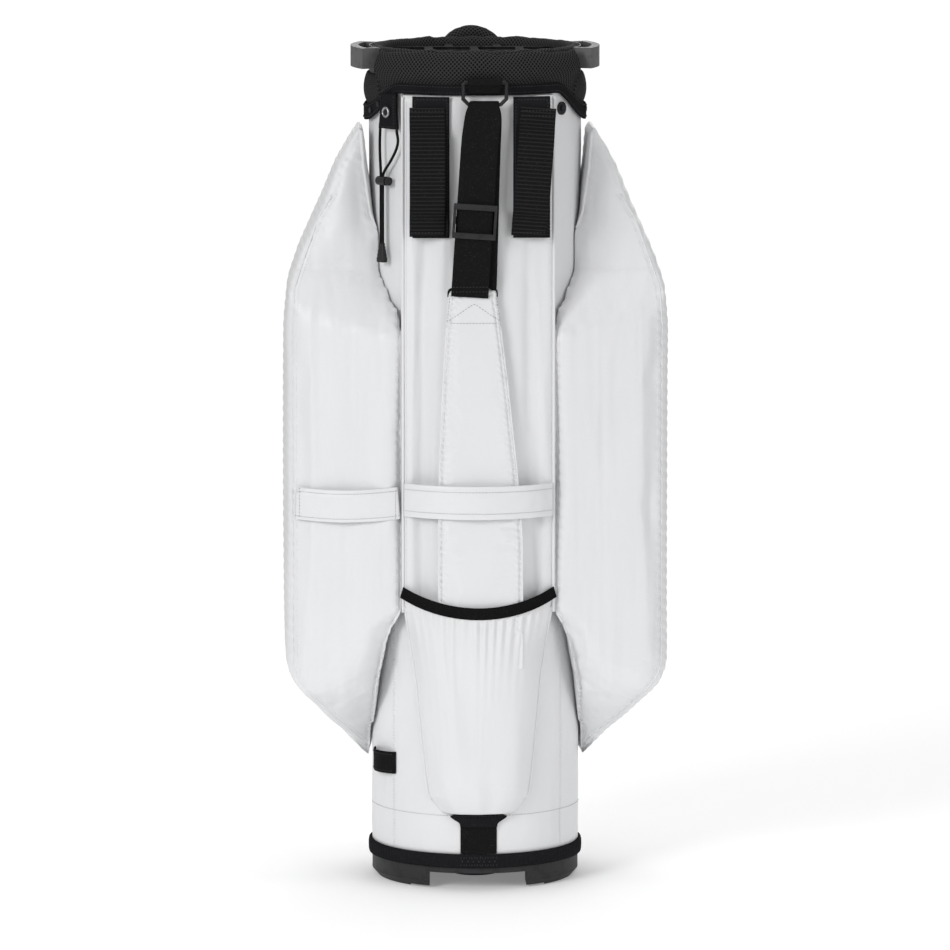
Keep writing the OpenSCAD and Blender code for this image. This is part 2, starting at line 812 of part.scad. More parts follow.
// outline of the gathered sleeve, taken in by t
module sleeve_prism(t, low, high) {
  rear_prism([
    [-mouth_half_w + t, high], [mouth_half_w - t, high], [mouth_half_w - t, mouth_z - 11],
    [68 - t, mouth_z - 83], [60 - t, mouth_z - 167], [52 - t, low], [-52 + t, low],
    [-60 + t, mouth_z - 167], [-68 + t, mouth_z - 83], [-mouth_half_w + t, mouth_z - 11]
  ]);
}

// everything above the mouth's sagging line, raised by rise
module above_mouth(rise) {
  translate([0, 0, mouth_z - sag + rise + sag_r]) rotate([90, 0, 0])
    cylinder(h = big, r = sag_r, $fn = 180);
}

module rear_pocket() {
  t = 1.5;
  low = pocket_floor_z;
  color("white") difference() {
    intersection() {
      pipe(skirt_r + gap, pocket_r + t, low, mouth_z + 20);
      sleeve_prism(0, low, mouth_z + 20);
    }
    intersection() {
      pipe(skirt_r - 5, pocket_r, low + t, mouth_z + 30);
      sleeve_prism(t, low + t, mouth_z + 30);
    }
    above_mouth(elastic_h - 1);
    translate([0, 0, waist_z - 45]) intersection() {
      crowned(panel_crown_r + gap, 0, big);
      translate([-big / 2, -big, 45]) cube([big, big, big]);
    }
    translate([-webbing_w / 2 - gap, -skirt_r - webbing_t - 2 * gap, low - 1])
      cube([webbing_w + 2 * gap, 20, 6]);
  }
}

module rear_pocket_elastic() {
  r = pocket_r + 1.5 + gap;
  color("#101010") intersection() {
    pipe(r, r + 1.7, mouth_z - 40, mouth_z + 40);
    rear_prism([
      [-mouth_half_w, 0], [mouth_half_w, 0], [mouth_half_w, big], [-mouth_half_w, big]
    ]);
    difference() {
      above_mouth(0);
      rotate([90, 0, 0]) translate([0, mouth_z - sag + elastic_h + sag_r, -1])
        cylinder(h = big, r = sag_r, $fn = 180);
    }
  }
}

module rear_pocket_binding() {
  r = skirt_r + webbing_t + 2 * gap;
  top = pocket_floor_z - gap;
  color("#101010") intersection() {
    pipe(r, r + 2.2, top - 17, top + 1);
    rear_prism([
      [-31, top - 4], [-16, top - 1], [0, top], [16, top - 1], [31, top - 4], [20, top - 15],
      [-20, top - 15]
    ]);
  }
}

// ---- umbrella holder ----

// puts a piece in the cord tab's own frame, at the left rear
module at_tab() {
  rotate([0, 0, -tab_angle]) children();
}

rivet_z = collar_z - 21;

module umbrella_tab() {
  color("#161616") at_tab() difference() {
    rear_prism([
      [-13, collar_z - 1.3], [13, collar_z - 1.3], [13, collar_z - 24],
      [tab_w / 2, tab_foot_z + 3], [tab_w / 2, tab_foot_z], [-tab_w / 2, tab_foot_z],
      [-tab_w / 2, tab_foot_z + 3], [-13, collar_z - 24]
    ], tab_r, 4);
    translate([0, 0, rivet_z]) rotate([90, 0, 0]) cylinder(h = big, r = 2.6, $fn = 48);
  }
}

module umbrella_rivet() {
  seat = tab_r + 4 + 0.1;
  color("#8a8a8c") at_tab() translate([0, 0, rivet_z]) rotate([90, 0, 0]) union() {
    translate([0, 0, seat]) cylinder(h = 1.6, r = 7, $fn = 48);
    translate([0, 0, cover_r + gap]) cylinder(h = seat - cover_r, r = 2.4, $fn = 48);
  }
}

// a round cord swept along points [x, z] in the tab's frame, with `sides` flats
module cord(route) {
  sides = 8;
  n = len(route);
  points = [for (p = route) [p[0], -cord_y, tab_foot_z + p[1]]];
  dirs = [for (i = [0 : n - 1]) let (d = points[min(i + 1, n - 1)] - points[max(i - 1, 0)])
    d / norm(d)];
  rings = [for (i = [0 : n - 1]) for (k = [0 : sides - 1]) let (
      a = 360 * k / sides, u = [dirs[i][2], 0, -dirs[i][0]], v = [0, 1, 0])
    points[i] + cord_d / 2 * (cos(a) * u + sin(a) * v)];
  walls = [for (i = [0 : n - 2]) for (k = [0 : sides - 1]) let (
      a = i * sides + k, b = i * sides + (k + 1) % sides) [a, b, b + sides, a + sides]];
  caps = [[for (k = [sides - 1 : -1 : 0]) k], [for (k = [0 : sides - 1]) (n - 1) * sides + k]];
  color("#0e0e0e") at_tab() polyhedron(points = rings, faces = concat(walls, caps));
}

module umbrella_cord_left() { cord(left_route); }

module umbrella_cord_right() { cord(right_route); }

button_r = 3.4;
lock_left = 5.4;
lock_right = 8.2;
button_travel = 2;

module cord_lock_body() {
  color("#1b1b1b") at_tab() translate([lock_x, -cord_y, lock_z]) difference() {
    translate([-lock_left, 0, 0]) rotate([0, 90, 0])
      cylinder(h = lock_left + lock_right, r = 4.8);
    for (side = [-1, 1]) translate([side * cord_run, 0, -8]) cylinder(h = 16, r = lock_bore_r);
    translate([-cord_run, -lock_bore_r, -8]) cube([2 * cord_run, 2 * lock_bore_r, 16]);
    translate([cord_run + lock_bore_r + 0.4, 0, 0]) rotate([0, 90, 0])
      cylinder(h = 20, r = button_r + gap);
  }
}

module cord_lock_button() {
  cap_x = lock_right + button_travel + gap;
  color("#1b1b1b") at_tab() translate([lock_x, -cord_y, lock_z]) rotate([0, 90, 0]) union() {
    translate([0, 0, lock_right - 2.2]) cylinder(h = cap_x - lock_right + 2.7, r = button_r);
    translate([0, 0, cap_x]) cylinder(h = 1.7, r = button_r + 1.1);
  }
}

module cord_end() {
  h = 20;
  color("#2a2a2a") at_tab() translate([lock_x, -cord_y, cord_end_top]) intersection() {
    rear_prism([
      [-3.6, 0], [3.6, 0], [6.8, 2 - h], [6.2, -h], [-6.2, -h], [-6.8, 2 - h]
    ], -8, 16);
    translate([-8, 0, 0]) rotate([90, 0, 90]) linear_extrude(16)
      polygon([[-2.2, 0], [2.2, 0], [4, 2 - h], [3.4, -h], [-3.4, -h], [-4, 2 - h]]);
  }
}

loop_out_r = skirt_r + 10;
loop_top = side_foot_z + 15;
loop_h = 24;

module umbrella_loop() {
  color("#101010") intersection() {
    difference() {
      pipe(skirt_r + gap, loop_out_r, loop_top - loop_h, loop_top);
      intersection() {
        pipe(0, loop_out_r - 1.6, loop_top - loop_h - 1, loop_top + 1);
        wedge(-72, -53, 0, big);
      }
    }
    wedge(-74, -51, 0, big);
  }
}

module towel_rivet() {
  angle = asin((panel_half_w + 9) / (cover_r + gap));
  color("#6e6e70") rotate([0, 0, angle]) translate([0, -cover_r - gap, collar_z - 18])
    rotate([90, 0, 0]) union() {
      cylinder(h = 2, r = 7, $fn = 48);
      cylinder(h = 3.4, r = 3.2, $fn = 48);
    }
}

// ---- nodes ----

base_tub();
base_binding();
base_liner();
body_tube();
body_cover();
lower_skirt();
rear_panel();
spine_stays();
collar_frame();
collar_pad();
collar_binding();
collar_rivets();
divider_grid();
divider_walls();
front_grip();
ring_loop();
strap_ring();
strap_webbing();
strap_slider();
strap_pad();
strap_lower_webbing();
cart_loop_left();
cart_loop_right();
loop_backing_left();
loop_backing_right();
strap_keeper();
cart_strap_sleeve();
side_pocket_left();
side_pocket_right();
side_zip_left();
side_zip_right();
side_zip_slider_left();
side_zip_slider_right();
side_zip_pull_left();
side_zip_pull_right();
rear_pocket();
rear_pocket_elastic();
rear_pocket_binding();
ball_pocket();
ball_zip();
ball_zip_slider();
ball_zip_pull();
upper_pocket();
upper_zip();
upper_zip_slider();
upper_zip_pull();
umbrella_tab();
umbrella_rivet();
umbrella_cord_left();
umbrella_cord_right();
cord_lock_body();
cord_lock_button();
cord_end();
umbrella_loop();
towel_rivet();
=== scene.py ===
"""Looks of the golf bag: its fabrics, foam, mesh, webbing and moulded pieces, over its packed frame.

Shapes are given in millimetres in the bag's own frame, with +Z up and the strap side facing -Y.
The order is: values, shape helpers, materials, one maker per piece or group, operators, panel, main.
"""

import json
import math

import bpy
import numpy as np
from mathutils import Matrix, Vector
from mathutils.bvhtree import BVHTree


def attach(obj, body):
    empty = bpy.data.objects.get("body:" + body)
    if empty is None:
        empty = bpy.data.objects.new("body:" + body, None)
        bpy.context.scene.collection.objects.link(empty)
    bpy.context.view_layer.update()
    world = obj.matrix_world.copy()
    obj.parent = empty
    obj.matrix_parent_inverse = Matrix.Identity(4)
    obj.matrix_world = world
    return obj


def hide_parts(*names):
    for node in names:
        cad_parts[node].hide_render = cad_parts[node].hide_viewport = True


bl_info = {
    "name": "Golf bag looks",
    "version": (1, 0, 0),
    "blender": (4, 5, 0),
    "location": "View3D > Sidebar > Golf Bag",
    "description": "Builds the fabric, webbing, mesh and moulded pieces of a golf bag",
    "category": "Object",
}

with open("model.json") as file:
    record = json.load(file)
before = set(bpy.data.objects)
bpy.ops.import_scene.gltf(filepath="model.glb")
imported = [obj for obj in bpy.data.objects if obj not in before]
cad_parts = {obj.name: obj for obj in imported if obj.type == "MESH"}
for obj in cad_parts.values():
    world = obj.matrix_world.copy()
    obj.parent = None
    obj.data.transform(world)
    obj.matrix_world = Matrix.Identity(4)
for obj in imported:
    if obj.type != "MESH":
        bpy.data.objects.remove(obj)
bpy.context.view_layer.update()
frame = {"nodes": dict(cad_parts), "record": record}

MM = 0.001
TAU = 2 * math.pi
BAG = "bag"
STRAP = "shoulder_strap"
SIDES = ((-1, "left"), (1, "right"))
AHEAD = (0, 1, 0)  # the way that points behind the bag drop onto it
CLOTH_FRAMES = 20
DUST_COLOUR = (0.35, 0.35, 0.36)

# radii and heights of the frame that the cloth sits on
COVER_BACK_R = 106.4
SKIRT_R = 111.5
COVER_TOP_R = 113.4
WAIST_Z = 330.3
PANEL_LOW = 299.0
PANEL_HALF_W = 80.0
COVER_HIGH = 853.5
SKIRT_LOW = 38.4
SKIRT_HIGH = 329.8
CROWN_R = 210.0
CROWN_Y = 92.5
TAB_TURN = math.radians(51)
CORD_REACH = 121.9
TAB_FOOT_Z = 816.0
LOOP_Z = 773.5  # the height that the right cart loop leans about
PATCH_R = 115.1
PAD_FRONT_Y = -129.4
STRAP_LEAN = math.tan(math.radians(3.8))

# strands of the umbrella cord: x along the tab and z from its foot
CORD_LEFT = [
    (-13.5, 0), (-13.5, -3), (-14.0, -9), (-14.2, -16), (-14.1, -24), (-13.8, -31), (-13.3, -38),
    (-12.8, -44), (-12.6, -50), (-12.6, -57), (-12.6, -66), (-12.6, -76), (-12.6, -86),
    (-12.6, -96), (-12.6, -106), (-12.6, -115), (-12.6, -123),
]
CORD_RIGHT = [
    (13.5, 0), (13.5, -3), (15.4, -8), (15.8, -13), (14.0, -19), (10.5, -25), (6.0, -31),
    (1.2, -37), (-3.8, -42), (-7.6, -46.5), (-9.4, -51), (-9.4, -57), (-9.4, -66), (-9.4, -76),
    (-9.4, -86), (-9.4, -96), (-9.4, -106), (-9.4, -115), (-9.4, -123),
]

# outline of the strap pad, x and z
PAD_OUTLINE = [
    (-32.8, 650), (19.2, 650), (24.5, 615), (33.7, 543), (43, 459), (49.8, 380), (49.8, 240),
    (-46.2, 240), (-46.2, 380), (-45.2, 459), (-41.3, 543), (-36.5, 615),
]

# side pocket: plan, front outline and side outline
POCKET_PLAN = [(50.3, -105.7), (196, -76), (203.5, -68), (203.5, 68), (196, 76), (50.3, 105.7)]
POCKET_FRONT = [
    (80.3, 299), (80.3, 639), (96, 684), (111, 724), (118, 774), (120.5, 819), (124, 819),
    (147.5, 775), (163.5, 734), (187.5, 681), (199.5, 647), (203.5, 604), (203.5, 237),
    (195.5, 219), (159.5, 177), (115.5, 129), (111.8, 129), (108, 181), (105, 223), (96, 268),
    (88, 286),
]
POCKET_SIDE = [
    (-42, 819), (44.8, 819), (87.5, 709), (106.7, 629), (106.7, 259), (85.3, 189), (44.8, 129),
    (-12, 129), (-24, 155), (-80, 211), (-106.7, 269), (-106.7, 584), (-54, 665),
]

# seams of a side pocket, x and z: the hem at its inner edge and the piping at its outer edge
POCKET_HEM = [
    (88, 287), (80.6, 302), (80.6, 400), (80.6, 637), (96, 683), (111, 723), (118, 772), (120.6, 812),
]
POCKET_PIPING = [
    (154.5, 742), (169, 718), (183, 680), (195, 645), (197.5, 604), (197.8, 420), (197.5, 238),
    (190, 222), (158, 185), (118, 141),
]

STITCH_ROWS = {}  # (body, thread) -> rows of points that the stitches follow
SURFACES = {}  # name -> search tree of a finished piece


# ---- numbers and noise ----


def unit(v):
    """Vectors of length one."""
    return v / np.maximum(np.linalg.norm(v, axis=-1, keepdims=True), 1e-9)


def step(low, high, value):
    """A smooth step from 0 at low to 1 at high."""
    t = np.clip((value - low) / (high - low), 0, 1)
    return t * t * (3 - 2 * t)


def noise(points, seed):
    """Smooth noise from -1 to 1 at points counted in cells."""
    cell = np.floor(points).astype(np.int64)
    part = points - cell
    part = part * part * (3 - 2 * part)
    total = np.zeros(points.shape[:-1])
    for corner in range(8):
        bits = np.array([(corner >> k) & 1 for k in range(3)])
        c = cell + bits
        h = (c[..., 0] * 73856093) ^ (c[..., 1] * 19349663) ^ (c[..., 2] * 83492791)
        h = (h ^ (seed * 40503 + 977)) & 0x7FFFFFFF
        h = ((h ^ (h >> 13)) * 1274126177) & 0x7FFFFFFF
        h = ((h ^ (h >> 15)) * 668265263) & 0x7FFFFFFF
        weight = np.prod(np.where(bits == 1, part, 1 - part), axis=-1)
        total += (h / 0x3FFFFFFF - 1) * weight
    return total


def folds(points, size, seed):
    """Cloth folds from about -1 to 1, crisp on their crests; size is a fold's spread in x, y, z."""
    p = np.asarray(points) / np.array(size, float)
    bend = noise(p * 0.6 + 3.1, seed + 5)[..., None] * 0.6
    a = 1 - 2.2 * np.abs(noise(p + bend, seed))
    b = 1 - 2.2 * np.abs(noise(p * 2.3 + 11 + bend, seed + 1))
    return 0.7 * a + 0.3 * b
def xyz(x, y, z):
    """Points from three coordinates, stretched to one shape."""
    return np.stack(np.broadcast_arrays(x, y, z), -1)


def around(radius, angle, z):
    """Points round the axis."""
    return xyz(radius * np.cos(angle), radius * np.sin(angle), z)


def bunched(count):
    """Shares from -1 to 1 that stand closer together at both ends."""
    return np.sin(np.linspace(-math.pi / 2, math.pi / 2, count))


def distance(points, outline):
    """How far each point is from the nearest of an outline's points, in x and z."""
    near = np.full(len(points), 1e9)
    for x, z in outline:
        near = np.minimum(near, np.hypot(points[:, 0] - x, points[:, 2] - z))
    return near


def keep_outside(points, radius):
    """Moves what is nearer to the axis than the radius out to it."""
    reach = np.hypot(points[:, 0], points[:, 1])
    points[:, :2] *= np.where(reach < radius, radius / np.maximum(reach, 1), 1)[:, None]

def panel_face(x):
    """How far behind the axis the rear panel's crown is."""
    return np.sqrt(CROWN_R**2 - np.asarray(x, float) ** 2) - CROWN_Y


def turned(x, reach, z):
    """A point given in the cord tab's own frame."""
    c, s = math.cos(TAB_TURN), math.sin(TAB_TURN)
    return (c * x - s * reach, -s * x - c * reach, z)


# ---- meshes ----


def link(obj):
    bpy.context.scene.collection.objects.link(obj)
    return obj


def finish(obj, body, slot, replaces=(), look=None):
    """Gives a piece its material and body, and says which frame nodes it stands for."""
    obj.data.materials.clear()
    obj.data.materials.append(material(look or slot))
    if obj.type == "MESH":
        obj.data.polygons.foreach_set("use_smooth", [True] * len(obj.data.polygons))
    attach(obj, body)
    if replaces:
        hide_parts(*([replaces] if isinstance(replaces, str) else replaces))
    return obj


def build(name, points, quads, uv=None):
    """A mesh object from millimetre points, turned so that its faces point outwards."""
    points = np.asarray(points, float) * MM
    quads = np.asarray(quads)
    a, b, c, d = (points[quads[:, k]] for k in range(4))
    volume = np.einsum("ij,ij->i", a, np.cross(b, c)).sum()
    volume += np.einsum("ij,ij->i", a, np.cross(c, d)).sum()
    if volume < 0:
        quads = quads[:, ::-1]
        uv = None if uv is None else uv[:, ::-1]
    mesh = bpy.data.meshes.new(name)
    mesh.from_pydata(points.tolist(), [], quads.tolist())
    if uv is not None:
        layer = mesh.uv_layers.new(name="flat")
        layer.data.foreach_set("uv", (uv * MM).astype(np.float32).ravel())
    mesh.update()
    return link(bpy.data.objects.new(name, mesh))


def loft(name, rings, closed=False):
    """A closed skin over sections; each is a loop with an even number of points."""
    rings = np.asarray(rings, float)
    n, k = rings.shape[:2]
    across = np.linalg.norm(np.diff(rings, axis=1, append=rings[:, :1]), axis=2).mean(0)
    along = np.linalg.norm(np.diff(rings, axis=0, append=rings[:1]), axis=2).mean(1)
    u = np.concatenate([[0], np.cumsum(across)])
    v = np.concatenate([[0], np.cumsum(along)])
    rows = n if closed else n - 1
    i, j = (g.ravel() for g in np.meshgrid(np.arange(rows), np.arange(k), indexing="ij"))
    i2, j2 = (i + 1) % n, (j + 1) % k
    quads = np.stack([i * k + j, i * k + j2, i2 * k + j2, i2 * k + j], 1)
    uv = np.stack(
        [np.stack([u[j + dj], v[i + di]], 1) for dj, di in ((0, 0), (1, 0), (1, 1), (0, 1))], 1
    )
    if not closed:
        m = np.arange(k // 2 - 1)
        cap = np.stack([m, k - 1 - m, k - 2 - m, m + 1], 1)
        last = (n - 1) * k + cap[:, ::-1]
        quads = np.concatenate([quads, cap, last])
        uv = np.concatenate([uv, np.tile(uv[:1], (2 * len(m), 1, 1))])
    return build(name, rings.reshape(-1, 3), quads, uv)


def even(points, spacing, cuts=3):
    """A path with its corners rounded, in steps of about the given spacing."""
    p = np.asarray(points, float)
    for _ in range(cuts):
        q = np.empty((2 * len(p) - 2, p.shape[1]))
        q[0::2], q[1::2] = 0.75 * p[:-1] + 0.25 * p[1:], 0.25 * p[:-1] + 0.75 * p[1:]
        p = np.vstack([p[:1], q, p[-1:]])
    s = np.concatenate([[0], np.cumsum(np.linalg.norm(np.diff(p[:, :3], axis=0), axis=1))])
    keep = np.concatenate([[True], np.diff(s) > 1e-6])
    p, s = p[keep], s[keep]
    t = np.linspace(0, s[-1], max(2, int(round(s[-1] / spacing)) + 1))
    return np.stack([np.interp(t, s, p[:, c]) for c in range(p.shape[1])], 1), t


def band(name, path, side, thick, half=None, across=13, spacing=4.0, rib=None, lift=None, cuts=3):
    """A flat band along a path of x, y, z and half width.

    side is its width direction; rib is (pitch, depth) of the ribs across it; lift(s, v) gives
    how far it stands out at s across and v along, both in millimetres.
    """
    path = [tuple(p) + ((half,) if half is not None else ()) for p in path]
    spacing = rib[0] / 4 if rib else spacing
    p, v = even(path, spacing, cuts)
    centre, width = p[:, :3], p[:, 3]
    tangent = unit(np.gradient(centre, axis=0))
    wide = np.array(side, float)[None]
    wide = unit(wide - (wide * tangent).sum(1, keepdims=True) * tangent)
    out = np.cross(tangent, wide)
    s = 0.5 * bunched(across) + 0.5 * np.linspace(-1, 1, across)
    edge = np.sqrt(np.clip(1 - np.abs(s) ** 14, 0.06, 1))
    half_t = thick / 2 * edge[None, :] * np.ones((len(p), 1))
    if rib:
        half_t = half_t + rib[1] * (np.abs(np.sin(math.pi * v / rib[0]))[:, None] - 0.5) * edge
    stand = np.zeros((len(p), across))
    if lift:
        stand = lift(s[None, :] * width[:, None], v[:, None]) + stand
    base = centre[:, None] + wide[:, None] * (s[None, :] * width[:, None])[..., None]
    front = base + out[:, None] * (stand + half_t)[..., None]
    back = base + out[:, None] * (stand - half_t)[..., None]
    return loft(name, np.concatenate([front, back[:, ::-1]], axis=1))


def turn(name, profile, columns=256, shape=None):
    """A ring turned from a closed profile of radius and height; shape(angle, r, z) bends it."""
    profile = np.asarray(profile, float)
    angle = (np.arange(columns) / columns * TAU)[:, None] + math.pi / 2
    r, z = np.broadcast_arrays(profile[None, :, 0], profile[None, :, 1] + 0 * angle)
    if shape:
        r, z = shape(angle, r, z)
    rings = np.stack([r * np.cos(angle), r * np.sin(angle), z], 2)
    return loft(name, rings, closed=True)


def fill(points, spacing):
    """A closed outline with points no further apart than the spacing."""
    out = []
    for a, b in zip(points, points[1:] + points[:1]):
        n = max(1, int(math.ceil(math.dist(a, b) / spacing)))
        out += [tuple(np.array(a) + (np.array(b) - np.array(a)) * k / n) for k in range(n)]
    return out


def tube(name, path, radius, sides=12, spacing=3.0, cuts=3, closed=False):
    """A round strip along a path; radius is one number or a function of the share of its length."""
    p, v = even(path, spacing, cuts)
    if closed:
        p, v = p[:-1], v[:-1]
    tangent = unit(np.gradient(p, axis=0))
    hint = np.array([0.31, 0.87, 0.38]) if abs(tangent[0][1]) < 0.8 else np.array([1.0, 0.2, 0.1])
    frames = []
    for t in tangent:
        hint = unit(hint - t * (hint @ t))
        frames.append((hint, np.cross(t, hint)))
    a, b = (np.array([f[k] for f in frames]) for k in range(2))
    r = radius(v / v[-1]) if callable(radius) else np.full(len(p), radius)
    angle = np.arange(sides) / sides * TAU
    ring = a[:, None] * np.cos(angle)[None, :, None] + b[:, None] * np.sin(angle)[None, :, None]
    return loft(name, p[:, None] + ring * r[:, None, None], closed)


def coords(obj):
    co = np.empty(len(obj.data.vertices) * 3, np.float64)
    obj.data.vertices.foreach_get("co", co)
    return co.reshape(-1, 3) / MM


def set_coords(obj, points):
    obj.data.vertices.foreach_set("co", (np.asarray(points) * MM).ravel())
    obj.data.update()


def normals(obj):
    n = np.empty(len(obj.data.vertices) * 3, np.float64)
    obj.data.vertices.foreach_get("normal", n)
    return n.reshape(-1, 3)


def bake_modifiers(obj):
    """Turns what the modifiers make into a plain mesh and removes them."""
    graph = bpy.context.evaluated_depsgraph_get()
    mesh = bpy.data.meshes.new_from_object(obj.evaluated_get(graph))
    obj.modifiers.clear()
    obj.data = mesh
    return obj


def remesh(obj, voxel):
    m = obj.modifiers.new("Even cells", "REMESH")
    m.mode, m.voxel_size = "VOXEL", voxel * MM
    m.use_smooth_shade = True
    return bake_modifiers(obj)


def refine(obj):
    """Subdivides a piece once and applies all its modifiers."""
    m = obj.modifiers.new("Finer", "SUBSURF")
    m.levels = m.render_levels = 1
    return bake_modifiers(obj)


def inflate(obj, voxel, limit, keep, pressure=4.0, smooth=3):
    """Fills a closed cloth cover with air until it is plump; no point moves past the limit.

    keep is the share of the move that is kept along x, y and z, as the seams hold the outline.
    """
    remesh(obj, voxel)
    rest = coords(obj)
    cloth = obj.modifiers.new("Cloth", "CLOTH")
    s = cloth.settings
    s.quality, s.mass, s.use_pressure = 5, 0.3, True
    s.uniform_pressure_force = pressure
    s.bending_stiffness = 2.0
    s.effector_weights.gravity = 0
    cloth.point_cache.frame_start, cloth.point_cache.frame_end = 1, CLOTH_FRAMES
    scene = bpy.context.scene
    for f in range(1, CLOTH_FRAMES + 1):
        scene.frame_set(f)
    graph = bpy.context.evaluated_depsgraph_get()
    result = obj.evaluated_get(graph).to_mesh()
    moved = np.empty(len(result.vertices) * 3)
    result.vertices.foreach_get("co", moved)
    delta = (moved.reshape(-1, 3) / MM - rest) * np.array(keep)
    obj.modifiers.clear()
    scene.frame_set(1)
    far = np.linalg.norm(delta, axis=1, keepdims=True)
    set_coords(obj, rest + delta * np.minimum(1, limit / np.maximum(far, 1e-6)))
    m = obj.modifiers.new("Soften", "SMOOTH")
    m.factor, m.iterations = 0.5, smooth
    return refine(obj)


def prism(name, outline, axis, low, high):
    """A solid with the given outline across an axis, its faces pointing outwards."""
    order = {"x": (2, 0, 1), "y": (0, 2, 1), "z": (0, 1, 2)}[axis]
    points = [[(a, b, h)[k] for k in order] for h in (low, high) for a, b in outline]
    n = len(outline)
    faces = [list(range(n)), list(range(2 * n - 1, n - 1, -1))]
    faces += [[i, i + n, (i + 1) % n + n, (i + 1) % n] for i in range(n)]
    mesh = bpy.data.meshes.new(name)
    mesh.from_pydata((np.array(points) * MM).tolist(), [], faces)
    mesh.calc_loop_triangles()
    co = np.array([v.co for v in mesh.vertices])
    corners = np.array([t.vertices for t in mesh.loop_triangles])
    a, b, c = (co[corners[:, k]] for k in range(3))
    if np.einsum("ij,ij->i", a, np.cross(b, c)).sum() < 0:
        mesh.flip_normals()
    return link(bpy.data.objects.new(name, mesh))


def combine(obj, other, how):
    m = obj.modifiers.new(how, "BOOLEAN")
    m.operation, m.object, m.solver = how, other, "EXACT"
    bake_modifiers(obj)
    bpy.data.objects.remove(other)
    return obj


def hollow(obj, radius):
    """Cuts the round tube's space out of a pocket."""
    ring = [(radius * math.cos(a), radius * math.sin(a)) for a in np.arange(96) / 96 * TAU]
    return combine(obj, prism("core", ring, "z", 60, 900), "DIFFERENCE")


def surface(obj):
    """A search tree over a finished piece."""
    if obj.name not in SURFACES:
        mesh = obj.data
        SURFACES[obj.name] = BVHTree.FromPolygons(
            [v.co[:] for v in mesh.vertices], [p.vertices[:] for p in mesh.polygons]
        )
    return SURFACES[obj.name]


def lay(obj, points, toward, lift=0.25, spacing=3.0):
    """Points dropped onto a piece along a direction, or towards the axis, and lifted off it."""
    tree = surface(obj)
    path, _ = even(points, spacing, 0)
    out = []
    for p in path:
        if toward == "axis":
            d = np.array([-p[0], -p[1], 0.0]) / math.hypot(p[0], p[1])
        else:
            d = np.array(toward, float)
        start = p - d * 60
        hit, normal, _, _ = tree.ray_cast(Vector(start * MM), Vector(d), 0.3)
        if hit is not None:
            if normal.dot(Vector(d)) > 0:
                normal = -normal
            out.append(np.array(hit) / MM + np.array(normal) * lift)
    return out


def sew(body, thread, rows):
    """Notes rows of points for the stitches to follow."""
    STITCH_ROWS.setdefault((body, thread), []).extend(r for r in rows if len(r) > 1)


def sew_on(obj, body, thread, rows, toward=AHEAD, lift=0.25):
    """Drops rows of points onto a piece for the stitches to follow."""
    sew(body, thread, [lay(obj, row, toward, lift) for row in rows])


# ---- shader groups ----


def group(name, inputs, outputs):
    """A new shader group on a vector, with the sockets of its two end nodes."""
    tree = bpy.data.node_groups.new(name, "ShaderNodeTree")
    tree.interface.new_socket("Vector", in_out="INPUT", socket_type="NodeSocketVector")
    for label, default in inputs.items():
        kind = "NodeSocketColor" if label == "Color" else "NodeSocketFloat"
        tree.interface.new_socket(label, in_out="INPUT", socket_type=kind).default_value = default
    for label in outputs:
        kind = "NodeSocketColor" if label == "Color" else "NodeSocketFloat"
        tree.interface.new_socket(label, in_out="OUTPUT", socket_type=kind)
    return tree, tree.nodes.new("NodeGroupInput").outputs, tree.nodes.new("NodeGroupOutput").inputs


def feed(tree, socket, value):
    """Gives a socket a number, or the output of another node."""
    if isinstance(value, (int, float)):
        socket.default_value = value
    else:
        tree.links.new(value, socket)


def maths(tree, op, a, b=None, clamp=False):
    """A maths node on sockets or numbers; returns its output."""
    n = tree.nodes.new("ShaderNodeMath")
    n.operation, n.use_clamp = op, clamp
    feed(tree, n.inputs[0], a)
    if b is not None:
        feed(tree, n.inputs[1], b)
    return n.outputs[0]


def plus(tree, a, b):
    return maths(tree, "ADD", a, b)


def minus(tree, a, b):
    return maths(tree, "SUBTRACT", a, b)


def times(tree, a, b, clamp=False):
    return maths(tree, "MULTIPLY", a, b, clamp)


def above(tree, a, b):
    return maths(tree, "GREATER_THAN", a, b)


def noise_node(tree, vector, scale, detail=3.0):
    n = tree.nodes.new("ShaderNodeTexNoise")
    n.inputs["Detail"].default_value = detail
    tree.links.new(vector, n.inputs["Vector"])
    feed(tree, n.inputs["Scale"], scale)
    return n.outputs["Fac"]


def split(tree, vector):
    n = tree.nodes.new("ShaderNodeSeparateXYZ")
    tree.links.new(vector, n.inputs[0])
    return n.outputs


def wave(tree, value, pitch):
    """A sine of a distance, from -1 to 1, that repeats each pitch."""
    return maths(tree, "SINE", times(tree, maths(tree, "DIVIDE", value, pitch), TAU))


def ramp(tree, value, low, high, kind="LINEAR"):
    """A share that goes from 0 to 1 between two values."""
    n = tree.nodes.new("ShaderNodeMapRange")
    n.interpolation_type = kind
    tree.links.new(value, n.inputs["Value"])
    n.inputs["From Min"].default_value = low
    n.inputs["From Max"].default_value = high
    return n.outputs["Result"]


def tint(tree, share, colour, other):
    """Blends a colour socket towards a fixed colour."""
    n = tree.nodes.new("ShaderNodeMix")
    n.data_type = "RGBA"
    tree.links.new(share, n.inputs["Factor"])
    tree.links.new(colour, n.inputs["A"])
    n.inputs["B"].default_value = (*other, 1)
    return n.outputs["Result"]


